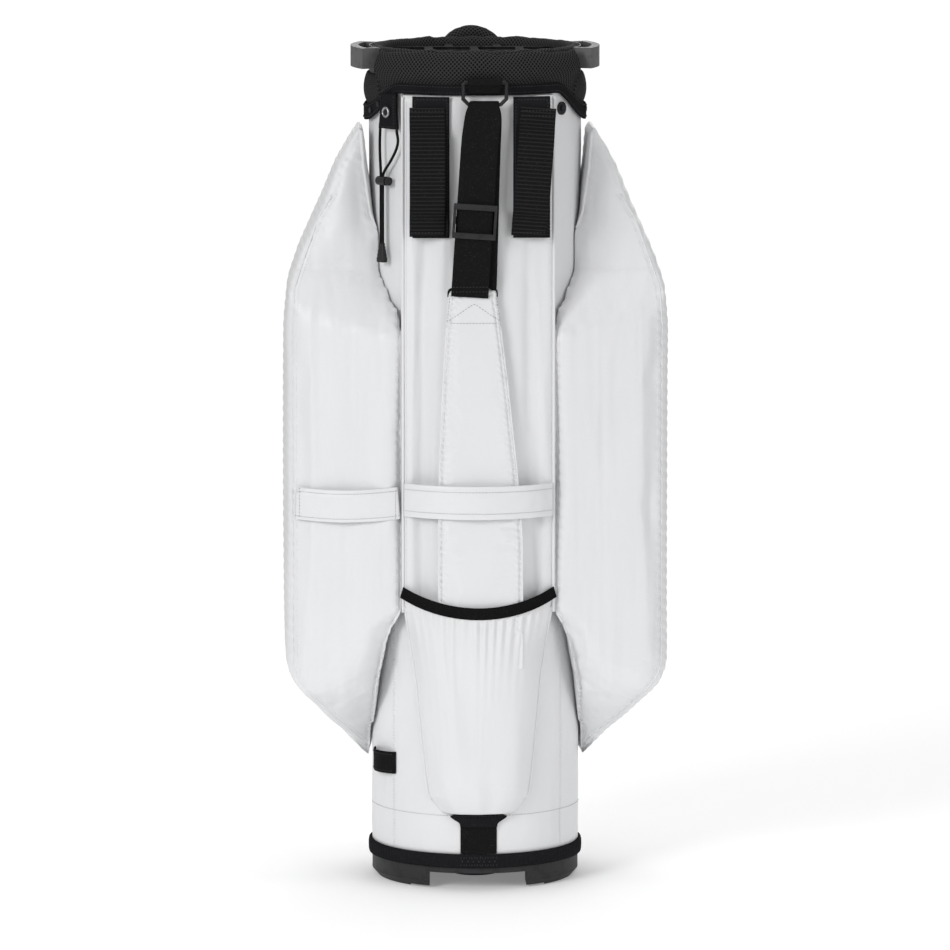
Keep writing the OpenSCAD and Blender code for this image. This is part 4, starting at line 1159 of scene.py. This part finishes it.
def make_cart_loops():
    """The two webbing loops for a cart's upper strap, on their stiff backings."""
    for side, x0, x1, x, lean in (("left", -70.2, -31.2, -54.7, 0.0), ("right", 36.5, 75.5, 58.0, 4.2)):
        slab = crown_slab("loop_backing_cloth_" + side, x0, x1, 703.3, 852.8, 118.9)
        finish(slab, BAG, "twill_black", "loop_backing_" + side)
        edge = [(x0 + 2.5, 706), (x0 + 2.5, 850), (x1 - 2.5, 850), (x1 - 2.5, 706), (x0 + 2.5, 706)]
        sew_on(slab, BAG, "thread_grey", [[(a, -150, b) for a, b in edge]])
        profile = [(842, 120.3), (826.5, 120.3), (822, 121.6), (815, 126.4), (810, 128.1), (795, 128.4),
                   (752, 128.4), (737, 128.1), (732, 126.4), (725, 121.6), (720.5, 120.3), (705, 120.3)]
        c, s = math.cos(math.radians(lean)), math.sin(math.radians(lean))
        path = [(x + (z - LOOP_Z) * s, -y, LOOP_Z + (z - LOOP_Z) * c) for z, y in profile]
        loop = band("cart_loop_webbing_" + side, path, (c, 0, -s), 1.55, 18.9, 21, rib=(4.2, 0.42), cuts=2)
        finish(loop, BAG, "webbing_black", "cart_loop_" + side, look="loop_black")
        mids = [(x + (z - LOOP_Z) * s, z) for z in (838.5, 833.0, 709.5)]
        sew_on(loop, BAG, "thread_grey", [[(m - 16, -150, z), (m + 16, -150, z)] for m, z in mids])


def arc(half, centre_y, r, n=24, z=0.0):
    """Points across the rear on a circle of radius r about centre_y."""
    return [(x, centre_y - math.sqrt(r * r - x * x), z) for x in np.linspace(-half, half, n)]


def make_bands():
    """The keeper band over the strap pad and the slack band on the left pocket."""

    def slack(s, v):
        return 0.6 * folds(xyz(v, 0, s), (22, 9, 13), 71) * step(2, 14, v) * step(185, 172, v)

    path = arc(79.2, -29.4, 108.7, 24, 422)
    keeper = band("keeper_cloth", path, (0, 0, 1), 1.5, 17.8, 27, 2.6, lift=slack, cuts=1)
    finish(keeper, BAG, "ripstop_white", "strap_keeper")
    path = arc(77.5, -29.4, 108.7, 24)
    rows = [[(x, y - 30, 422 + dz) for x, y, _ in path] for dz in (-11.4, 11.6)]
    sew_on(keeper, BAG, "thread_pale", rows)

    a, b = np.array([-194.3, -76.4]), np.array([-84.5, -98.8])
    chord = np.linalg.norm(b - a)
    out = np.array([b[1] - a[1], -(b[0] - a[0])]) / chord
    path = []
    for t in np.linspace(0, 1, 28):
        p = a + (b - a) * t + out * (1.1 + 11.6 * (1 - (2 * t - 1) ** 2))
        path.append((p[0], p[1], 416.5 - 2.2 * math.sin(math.pi * t) + 2.4 * t - 1.2))

    def sag(s, v):
        return 0.5 * folds(xyz(v, 0, s), (16, 9, 12), 75) - 1.2 * step(9, 17, s)

    sleeve = band("sleeve_cloth", path, (0, 0, 1), 1.3, 17.2, 27, 2.4, lift=sag, cuts=1)
    finish(sleeve, BAG, "ripstop_white", "cart_strap_sleeve")
    rows = [[(x, y - 30, z + dz) for x, y, z in path] for dz in (-13.5, 13.2)]
    rows += [[(x, -140, z) for z in (402, 431)] for x in (-190.5, -88.5)]
    sew_on(sleeve, BAG, "thread_pale", rows)


# ---- pockets ----


def pocket_folds(obj, side):
    """Cloth folds, seam puckers and bottom wrinkles on an inflated side pocket."""
    p, n = coords(obj), normals(obj)
    x, z = side * p[:, 0], p[:, 2]
    reach = distance(p, fill([(side * a, b) for a, b in POCKET_FRONT], 4.0))
    slant = fill(POCKET_FRONT[-6:] + POCKET_FRONT[:1], 4.0)[:-12]
    near = distance(p, [(side * a, b) for a, b in slant])
    rear = step(0.3, 0.7, -n[:, 1])
    low = 1 - step(170, 330, z)
    high = step(600, 700, z)
    wrinkles = folds(p + xyz(0, 0, 0.5 * side * p[:, 0]), (60, 40, 16), 86 + side)
    swells = noise(p / np.array([26, 60, 90]) + 0.4 * side, 83 + side)
    push = 0.9 * folds(p, (17, 30, 190), 81 + side) + 1.1 * wrinkles * low + 0.5 * wrinkles * high
    push += (1.2 + 2.4 * high + low) * swells
    tuck = rear * (1 - step(250, 310, z))
    push = push + tuck * 1.6 * folds(p, (26, 60, 13), 88 + side) * np.exp(-((near / 24) ** 2))
    groove = np.exp(-((reach - 5.5) / 1.3) ** 2) * rear
    ripple = np.exp(-((reach - 5.5) / 7) ** 2) * 0.45 * np.sin(z * 0.55 + p[:, 0] * 0.4)
    push = push * step(2, 16, reach) - 1.0 * groove + ripple
    zip_area = step(34, 22, np.abs(x - 150)) * step(222, 240, z) * step(625, 610, z)
    push = np.where(zip_area * step(0.6, 0.9, n[:, 1]) > 0.3, -0.3, push)
    inner = step(122, 116, np.hypot(p[:, 0], p[:, 1]))
    p = p + n * (push * (1 - inner))[:, None]
    p[:, 1] += 11 * tuck * np.exp(-((near / 17) ** 2))
    x, z = side * p[:, 0], p[:, 2]
    face_y = 76 + (196 - x) * 0.2036 - 0.1
    held = (np.abs(x - 150) < 28) & (z > 225) & (z < 620)
    p[:, 1] = np.where(held, np.minimum(p[:, 1], face_y), p[:, 1])
    keep_outside(p, 114.4)
    set_coords(obj, p)


def make_side_pockets():
    """The two tall side pockets, filled with air and wrinkled, with hems on their inner edges."""
    for side, label in SIDES[::-1]:
        plan = [(side * x, y) for x, y in POCKET_PLAN]
        outline = [(side * x, z) for x, z in POCKET_FRONT]
        body = prism("side_pocket_cloth_" + label, outline, "y", -140, 140)
        combine(body, prism("plan", plan, "z", 100, 840), "INTERSECT")
        combine(body, prism("sides", POCKET_SIDE, "x", -240, 240), "INTERSECT")
        hollow(body, 114.2)
        inflate(body, 5.0, 4.0, (0.15, 1, 0.15))
        pocket_folds(body, side)
        finish(body, BAG, "ripstop_white", "side_pocket_" + label)

        def dropped(points, inset, lift, spacing=3.0):
            return lay(body, [(side * (x + inset), -150, z) for x, z in points], AHEAD, lift, spacing)

        hem = tube("side_pocket_hem_" + label, dropped(POCKET_HEM, 2.2, -0.2, 6), 1.5, 10, 3.0, 1)
        finish(hem, BAG, "ripstop_white")
        piping = tube("side_pocket_piping_" + label, dropped(POCKET_PIPING, 0, 0.0, 6), 1.1, 8, 3.0, 1)
        finish(piping, BAG, "ripstop_white")
        sew(BAG, "thread_white", [dropped(POCKET_HEM, 5.8, 0.15), dropped(POCKET_PIPING, -4.5, 0.15)])


def rear_pocket_half(z):
    return np.interp(z, [78, 84, 102, 144, 228, 300, 330], [34, 39, 54.5, 59.5, 67.5, 79.0, 79.0])


def mouth(x):
    """Height of the rear pocket's sagging mouth."""
    return 311 - 16.7 + (197.6 - np.sqrt(197.6**2 - np.minimum(np.abs(x), 79.5) ** 2))


def rear_pocket_skin(t, share, inset=0.0):
    """Points on the rear pocket's cloth; t runs across, -1 to 1, and share up from the floor."""
    x0 = rear_pocket_half(84 + share * 222) * t
    z = 84.3 + share * (mouth(x0) + 3.4 - 84.3)
    half = rear_pocket_half(z)
    x = half * t
    belly = 1 - np.abs(t) ** 5
    round_low = np.sqrt(np.clip((z - 80) / 34, 0, 1))
    hem = 113.6 + 14.6 * step(0.8, 1.0, share)
    r = hem + (134.6 - hem) * belly * (0.25 + 0.75 * round_low)
    depth = 1 - share
    cells = np.stack([t * 3, 0 * t, share * 1.5], -1)
    pleat = np.sin(TAU * (t * 8 + 0.55 * noise(cells, 91)))
    fade = np.exp(-depth / (0.13 + 0.09 * noise(cells * 1.7, 95))) * (0.3 + 0.7 * step(0, 0.05, depth))
    wide = noise(np.stack([t * 3.4 + share * 1.3, 0 * t, share * 2.1], -1), 97)
    r = r + (2.3 * pleat * fade + 3.0 * wide * step(0, 0.2, depth)) * belly**0.5 * round_low
    r = r - inset - 0.8
    y = -np.sqrt(np.maximum(r * r - x * x, 40))
    return np.stack([x, y, z], -1)


def make_rear_pocket():
    """The gathered sleeve pocket at the rear with its elastic mouth and its binding below."""
    t = np.linspace(-1, 1, 190)[None, :]
    share = np.linspace(0, 1, 120)[:, None]
    front = rear_pocket_skin(t + 0 * share, share + 0 * t)
    inner = rear_pocket_skin(t * 0.985 + 0 * share, share + 0 * t, 1.6)
    cloth = loft("rear_pocket_cloth", np.concatenate([front, inner[:, ::-1]], 1))
    finish(cloth, BAG, "ripstop_white", "rear_pocket")

    path = []
    for v in np.linspace(-0.995, 0.995, 120):
        x = 79.0 * v
        r = 128.6 + 6.4 * (1 - abs(v) ** 5)
        y = max(math.sqrt(r * r - x * x), float(panel_face(x)) + 0.2)
        path.append((x * 1.04, -y, mouth(x) + 8.4 + 2.8 * v * v))
    trim = band("rear_pocket_elastic_trim", path, (0, 0, 1), 1.6, 6.4, 11, 1.1, rib=(2.2, 0.18), cuts=1)
    finish(trim, BAG, "elastic_black", "rear_pocket_elastic")

    widths = [(85.2, 12), (84.4, 20), (82.6, 27), (80.2, 31.5), (76.5, 26), (73.5, 20.5), (68.9, 19.8)]
    path = [(0, -PATCH_R, z, half) for z, half in widths]
    patch = band("rear_pocket_twill_patch", path, (1, 0, 0), 1.9, None, 23, 1.2,
                 lift=lambda s, v: -(PATCH_R - np.sqrt(PATCH_R**2 - s**2)), cuts=1)
    finish(patch, BAG, "twill_black", "rear_pocket_binding")
    sew_on(patch, BAG, "thread_grey", [[(-28, -150, 81.3), (28, -150, 81.3)]])
    edge = ((51.5, 98), (59.0, 144), (67.0, 228), (77.5, 296))
    sew_on(cloth, BAG, "thread_white", [[(side * x, -150, z) for x, z in edge] for side, _ in SIDES])
    for side, label in SIDES:
        shares = np.linspace(0.06, 0.97, 30)
        route = [rear_pocket_skin(np.array([side * 0.985]), np.array([k]))[0] for k in shares]
        welt = tube("rear_pocket_welt_" + label, [q + (0, -0.6, 0) for q in route], 1.5, 8, 3.0, 1)
        finish(welt, BAG, "ripstop_white")


def clipped(half, low, high, corner):
    """An outline whose two high corners are cut off."""
    return [(-half, low), (half, low), (half, high - corner), (half - corner, high),
            (-half + corner, high), (-half, high - corner)]


def make_front_pockets():
    """The ball pocket and the upper pocket on the front, filled with air and wrinkled."""
    for node, half, reach, low, high, seed in (
        ("ball_pocket", 78, 190, 120, 420, 101),
        ("upper_pocket", 72, 168, 450, 780, 107),
    ):
        body = prism(node + "_cloth", clipped(half, low, high, 14), "y", 60, reach)
        combine(body, prism("plan", clipped(half, 40, reach, 12), "z", 60, 860), "INTERSECT")
        hollow(body, 114.4)
        inflate(body, 4.6, 4.0, (0.3, 1, 0.3))
        p, n = coords(body), normals(body)
        push = 0.8 * folds(p, (40, 24, 60), seed) + 0.5 * folds(p, (14, 14, 70), seed + 2)
        zip_area = step(30, 18, np.abs(p[:, 0] - 48)) * step(0.5, 0.9, n[:, 1])
        p = p + n * (push * (1 - zip_area) - 0.3 * zip_area)[:, None]
        p[:, 1] = np.where(np.abs(p[:, 0] - 48) < 26, np.minimum(p[:, 1], reach - 0.1), p[:, 1])
        keep_outside(p, 114.6)
        set_coords(body, p)
        finish(body, BAG, "ripstop_white", node)
        outline = clipped(half - 7, low + 8, high - 8, 12)

        def border(inset, lift):
            route = []
            for x, z in outline[:1] + outline[::-1]:
                up = inset if z < low + 30 else -inset
                route.append((x * (1 - inset / (half - 7)), reach + 40, z + up))
            return lay(body, route, (0, -1, 0), lift, 4)

        finish(tube(node + "_piping", border(0, 0.0), 1.2, 8, 3.0, 1), BAG, "ripstop_white")
        sew(BAG, "thread_white", [border(5, 0.15)])


# ---- zips ----


def row_tree(name):
    """A node tree that sets rounded beads along every line of a mesh, end to end."""
    tree = bpy.data.node_groups.new(name, "GeometryNodeTree")
    for label, kind, default in (
        ("Rows", "Geometry", None),
        ("Pitch", "Float", 0.003),
        ("Length", "Float", 0.002),
        ("Width", "Float", 0.0006),
        ("Height", "Float", 0.0005),
        ("Seed", "Int", 7),
        ("Finish", "Material", None),
    ):
        socket = tree.interface.new_socket(label, in_out="INPUT", socket_type="NodeSocket" + kind)
        if default is not None:
            socket.default_value = default
    tree.interface.new_socket("Beads", in_out="OUTPUT", socket_type="NodeSocketGeometry")
    new, join = tree.nodes.new, tree.links.new
    given, result = new("NodeGroupInput").outputs, new("NodeGroupOutput").inputs
    curve = new("GeometryNodeMeshToCurve")
    join(given["Rows"], curve.inputs["Mesh"])
    points = new("GeometryNodeCurveToPoints")
    points.mode = "LENGTH"
    join(curve.outputs["Curve"], points.inputs["Curve"])
    join(given["Pitch"], points.inputs["Length"])
    bead = new("GeometryNodeMeshUVSphere")
    bead.inputs["Segments"].default_value = 8
    bead.inputs["Rings"].default_value = 5
    bead.inputs["Radius"].default_value = 0.5
    size = new("ShaderNodeCombineXYZ")
    for axis, label in zip("XYZ", ("Width", "Height", "Length")):
        join(given[label], size.inputs[axis])
    vary = new("FunctionNodeRandomValue")
    vary.data_type = "FLOAT"
    vary.inputs[2].default_value, vary.inputs[3].default_value = 0.92, 1.06
    join(given["Seed"], vary.inputs["Seed"])
    scaled = new("ShaderNodeVectorMath")
    scaled.operation = "SCALE"
    join(size.outputs[0], scaled.inputs[0])
    join(vary.outputs[1], scaled.inputs["Scale"])
    place = new("GeometryNodeInstanceOnPoints")
    join(points.outputs["Points"], place.inputs["Points"])
    join(bead.outputs["Mesh"], place.inputs["Instance"])
    turn_node = new("FunctionNodeAlignRotationToVector")
    turn_node.axis = "Z"
    join(points.outputs["Tangent"], turn_node.inputs["Vector"])
    join(turn_node.outputs["Rotation"], place.inputs["Rotation"])
    join(scaled.outputs[0], place.inputs["Scale"])
    real = new("GeometryNodeRealizeInstances")
    join(place.outputs["Instances"], real.inputs["Geometry"])
    flat = new("GeometryNodeSetShadeSmooth")
    join(real.outputs["Geometry"], flat.inputs["Geometry"])
    paint = new("GeometryNodeSetMaterial")
    join(flat.outputs["Geometry"], paint.inputs["Geometry"])
    join(given["Finish"], paint.inputs["Material"])
    join(paint.outputs["Geometry"], result["Beads"])
    return tree


def beads(name, rows, body, slot, finish_name, **sizes):
    """Beads along rows of points, turned into one plain mesh on a body."""
    points, edges = [], []
    for row in rows:
        start = len(points)
        points += [tuple(np.array(p) * MM) for p in row]
        edges += [(k, k + 1) for k in range(start, len(points) - 1)]
    mesh = bpy.data.meshes.new(name)
    mesh.from_pydata(points, edges, [])
    obj = link(bpy.data.objects.new(name, mesh))
    tree = bpy.data.node_groups.get("Bead rows") or row_tree("Bead rows")
    m = obj.modifiers.new("Beads", "NODES")
    m.node_group = tree
    values = dict(sizes, Finish=material(finish_name))
    for item in tree.interface.items_tree:
        if item.item_type == "SOCKET" and item.in_out == "INPUT" and item.name in values:
            m[item.identifier] = values[item.name]
    bake_modifiers(obj)
    if not len(obj.data.polygons):
        raise RuntimeError(name + " has no beads")
    layers = obj.data.uv_layers
    flat = layers.get("flat") or layers.new(name="flat")
    co = coords(obj) * MM
    loops = np.empty(len(obj.data.loops), np.int32)
    obj.data.loops.foreach_get("vertex_index", loops)
    flat.data.foreach_set("uv", co[loops][:, [0, 2]].astype(np.float32).ravel())
    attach(obj, body)
    return obj


def make_zips():
    """Tapes and coils of the four zips."""
    for node, (x, y), (ox, oy), low, high in (
        ("side_zip_left", (-150.06, 85.66), (-0.1995, 0.9799), 262, 602),
        ("side_zip_right", (150.06, 85.66), (0.1995, 0.9799), 262, 602),
        ("ball_zip", (48, 190.3), (0, 1), 185, 395),
        ("upper_zip", (48, 168.3), (0, 1), 545, 755),
    ):

        def beside(out, across, z):
            return (x + ox * out + oy * across, y + oy * out - ox * across, z)

        path = [beside(0.45, 0, z) for z in np.linspace(low + 0.5, high - 0.5, 12)]
        tape = band(node + "_tape", path, (oy, -ox, 0), 0.7, 13.8, 15, rib=(1.6, 0.04),
                    lift=lambda s, v: 0.12 * np.sin(v * 0.21) * np.abs(s) / 14)
        finish(tape, BAG, "zip_tape", node)
        for sign, tag in ((-1, "a"), (1, "b")):
            row = [beside(2.0, sign * 1.35, z + 0.7 * sign) for z in (low + 2, high - 2)]
            beads(node + "_coil_" + tag, [row], BAG, "zip_tape", "zip_tape",
                  Pitch=0.0021, Length=0.0013, Width=0.0032, Height=0.0032)
        heights = np.linspace(low + 3, high - 3, 80)
        sew(BAG, "thread_grey", [[beside(1.05, sign * 8.5, z) for z in heights] for sign in (-1, 1)])


# ---- umbrella holder ----


def make_cord_tab():
    """The twill tab that the cord hangs from, with its stitches and eyelet."""
    s = bunched(21)
    rows = []
    for z in np.linspace(816.2, 853.6, 34):
        half = np.interp(z, [816.2, 819, 831, 853.6], [15.0, 14.8, 12.9, 12.9])
        front = [turned(half * a, 123.8 - 0.9 * abs(a) ** 10, z) for a in s]
        rows.append(front + [turned(half * a, 120.0, z) for a in s[::-1]])
    finish(loft("cord_tab_twill", rows), BAG, "twill_black", "umbrella_tab")
    edge = ((-10.8, 850), (-10.4, 832), (-12.0, 818.5), (12.0, 818.5), (10.4, 832), (10.8, 850))
    sew(BAG, "thread_grey", [even([turned(x, 124.1, z) for x, z in edge], 2.0, 0)[0]])
    eyelet = [turned(4.6 * math.cos(a), 125.9, 834 + 4.6 * math.sin(a)) for a in np.linspace(0, TAU, 40)]
    finish(tube("cord_tab_eyelet", eyelet, 1.2, 10, 0.8, 0, closed=True), BAG, "stay_metal")


def make_umbrella_holder():
    """The cord's tab above and the webbing loop for the umbrella's tip below."""
    make_cord_tab()
    path = []
    for a in np.linspace(-74, -51, 26):
        r = 112.8 + 7.8 * math.sin(math.pi * (a + 74) / 23) ** 0.8
        path.append((r * math.sin(math.radians(a)), -r * math.cos(math.radians(a)), 132))
    loop = band("umbrella_webbing_loop", path, (0, 0, 1), 1.4, 11.9, 17, rib=(2.6, 0.15), cuts=1)
    finish(loop, BAG, "webbing_black", "umbrella_loop")
    rows = [[(x * 1.3, y * 1.3, z + dz) for x, y, z in path[2:-2]] for dz in (-9, 9)]
    sew_on(loop, BAG, "thread_grey", rows, "axis")


def make_stitches():
    """Every row of stitches, as one mesh for each body and thread."""
    s = bpy.context.scene.bag_fabric
    for (body, thread), rows in sorted(STITCH_ROWS.items()):
        beads("stitches_" + body + "_" + thread.split("_")[1], rows, body, THREAD_SLOT[thread], thread,
              Pitch=s.stitch_pitch, Length=s.stitch_pitch * 0.72, Width=s.thread, Height=s.thread * 0.8)


# ---- settings, operators and panel ----


def colour(name, description, *value):
    """A colour setting."""
    return bpy.props.FloatVectorProperty(
        name=name, description=description, subtype="COLOR", size=3, default=value
    )


def number(name, description, value, **more):
    """A number setting."""
    return bpy.props.FloatProperty(name=name, description=description, default=value, **more)


class BagColours(bpy.types.PropertyGroup):
    """Colours of the bag's finishes."""

    white: colour("White cloth", "Coated ripstop", 0.74, 0.745, 0.755)
    twill: colour("Twill", "Dark binding and tabs", 0.013, 0.013, 0.0145)
    webbing: colour("Webbing", "Straps, tapes and cord", 0.008, 0.008, 0.0085)
    mesh: colour("Mesh", "Spacer mesh of the collar", 0.037, 0.037, 0.0385)
    moulded: colour("Moulding", "Base, tube and fittings", 0.021, 0.021, 0.0225)
    # painted highlight: a lighter grey standing for the light and gloss on the handles
    handle: colour("Handles", "Moulded side handles", 0.095, 0.095, 0.098)
    foam: colour("Foam", "Liner and divider cloth", 0.06, 0.06, 0.062)
    bright_metal: colour("Bright metal", "Eyelets and rods", 0.45, 0.45, 0.47)
    dark_metal: colour("Dark metal", "Ring, rivets and zip sliders", 0.022, 0.022, 0.024)
    pale_thread: colour("Pale thread", "Stitches on white pieces", 0.42, 0.42, 0.43)
    grey_thread: colour("Grey thread", "Stitches on black pieces", 0.035, 0.035, 0.037)


class BagFabric(bpy.types.PropertyGroup):
    """Sizes of the threads and stitches."""

    stitch_pitch: number("Stitch pitch", "From stitch to stitch", 0.0034, unit="LENGTH", precision=4)
    thread: number("Thread width", "Width of the sewing thread", 0.0008, unit="LENGTH", precision=4)


class BagStage(bpy.types.PropertyGroup):
    """Camera and studio values."""

    azimuth: number("Azimuth", "Turn of the camera round the bag", math.radians(-2.0), subtype="ANGLE")
    elevation: number("Elevation", "Rise of the camera's view", math.radians(7.5), subtype="ANGLE")
    distance: number("Distance", "From the camera to the bag", 8.0, unit="LENGTH")
    target_height: number("Target height", "Height that the camera looks at", 0.4345, unit="LENGTH")
    lens: number("Lens", "Focal length in millimetres", 280.7)
    floor_size: number("Floor", "Side of the floor", 3.2, unit="LENGTH")
    floor_glow: number("Floor glow", "Light that the floor gives off", 0.2)
    sky: number("Sky", "Strength of the even light", 0.38)
    key: number("Key light", "Power of the main light in watts", 84.0)


PIECES = (
    ("stage", "Stage", make_stage),
    ("cords", "Umbrella cords", make_cords),
    ("covers", "Covers and rear panel", make_covers),
    ("base", "Base binding", make_base),
    ("collar", "Collar and grip", make_collar),
    ("ring_loop", "Ring loop", make_ring_loop),
    ("strap", "Shoulder strap", make_strap),
    ("lower_webbing", "Lower webbing", make_lower_webbing),
    ("cart_loops", "Cart loops", make_cart_loops),
    ("bands", "Keeper and sleeve bands", make_bands),
    ("side_pockets", "Side pockets", make_side_pockets),
    ("rear_pocket", "Rear pocket", make_rear_pocket),
    ("front_pockets", "Front pockets", make_front_pockets),
    ("zips", "Zips", make_zips),
    ("umbrella_holder", "Umbrella holder", make_umbrella_holder),
    ("interior", "Frame, dividers and fittings", make_interior),
    ("stitches", "Stitches", make_stitches),
)


def operator(key, label, maker):
    """An operator class that makes one piece or group."""

    def execute(self, context):
        maker()
        return {"FINISHED"}

    fields = {"bl_idname": "golfbag." + key, "bl_label": label, "__doc__": maker.__doc__, "execute": execute}
    return type("GOLFBAG_OT_" + key, (bpy.types.Operator,), fields)


class GOLFBAG_PT_panel(bpy.types.Panel):
    """Lists the bag's settings and its pieces."""

    bl_idname = "GOLFBAG_PT_panel"
    bl_label = "Golf Bag"
    bl_space_type = "VIEW_3D"
    bl_region_type = "UI"
    bl_category = "Golf Bag"

    def draw(self, context):
        for settings in (context.scene.bag_colours, context.scene.bag_fabric, context.scene.bag_stage):
            column = self.layout.column()
            for name in settings.__annotations__:
                column.prop(settings, name)
        for key, _, _ in PIECES:
            self.layout.operator("golfbag." + key)


OPERATORS = tuple(operator(*piece) for piece in PIECES)
CLASSES = (BagColours, BagFabric, BagStage, *OPERATORS, GOLFBAG_PT_panel)


def register():
    for c in CLASSES:
        bpy.utils.register_class(c)
    bpy.types.Scene.bag_colours = bpy.props.PointerProperty(type=BagColours)
    bpy.types.Scene.bag_fabric = bpy.props.PointerProperty(type=BagFabric)
    bpy.types.Scene.bag_stage = bpy.props.PointerProperty(type=BagStage)


def unregister():
    for name in ("bag_colours", "bag_fabric", "bag_stage"):
        delattr(bpy.types.Scene, name)
    for c in reversed(CLASSES):
        bpy.utils.unregister_class(c)


def main():
    """Makes every piece in order and notes the size of the frame and of the finished bag."""
    register()
    for key, _, _ in PIECES:
        getattr(bpy.ops.golfbag, key)()


if __name__ == "__main__":
    main()
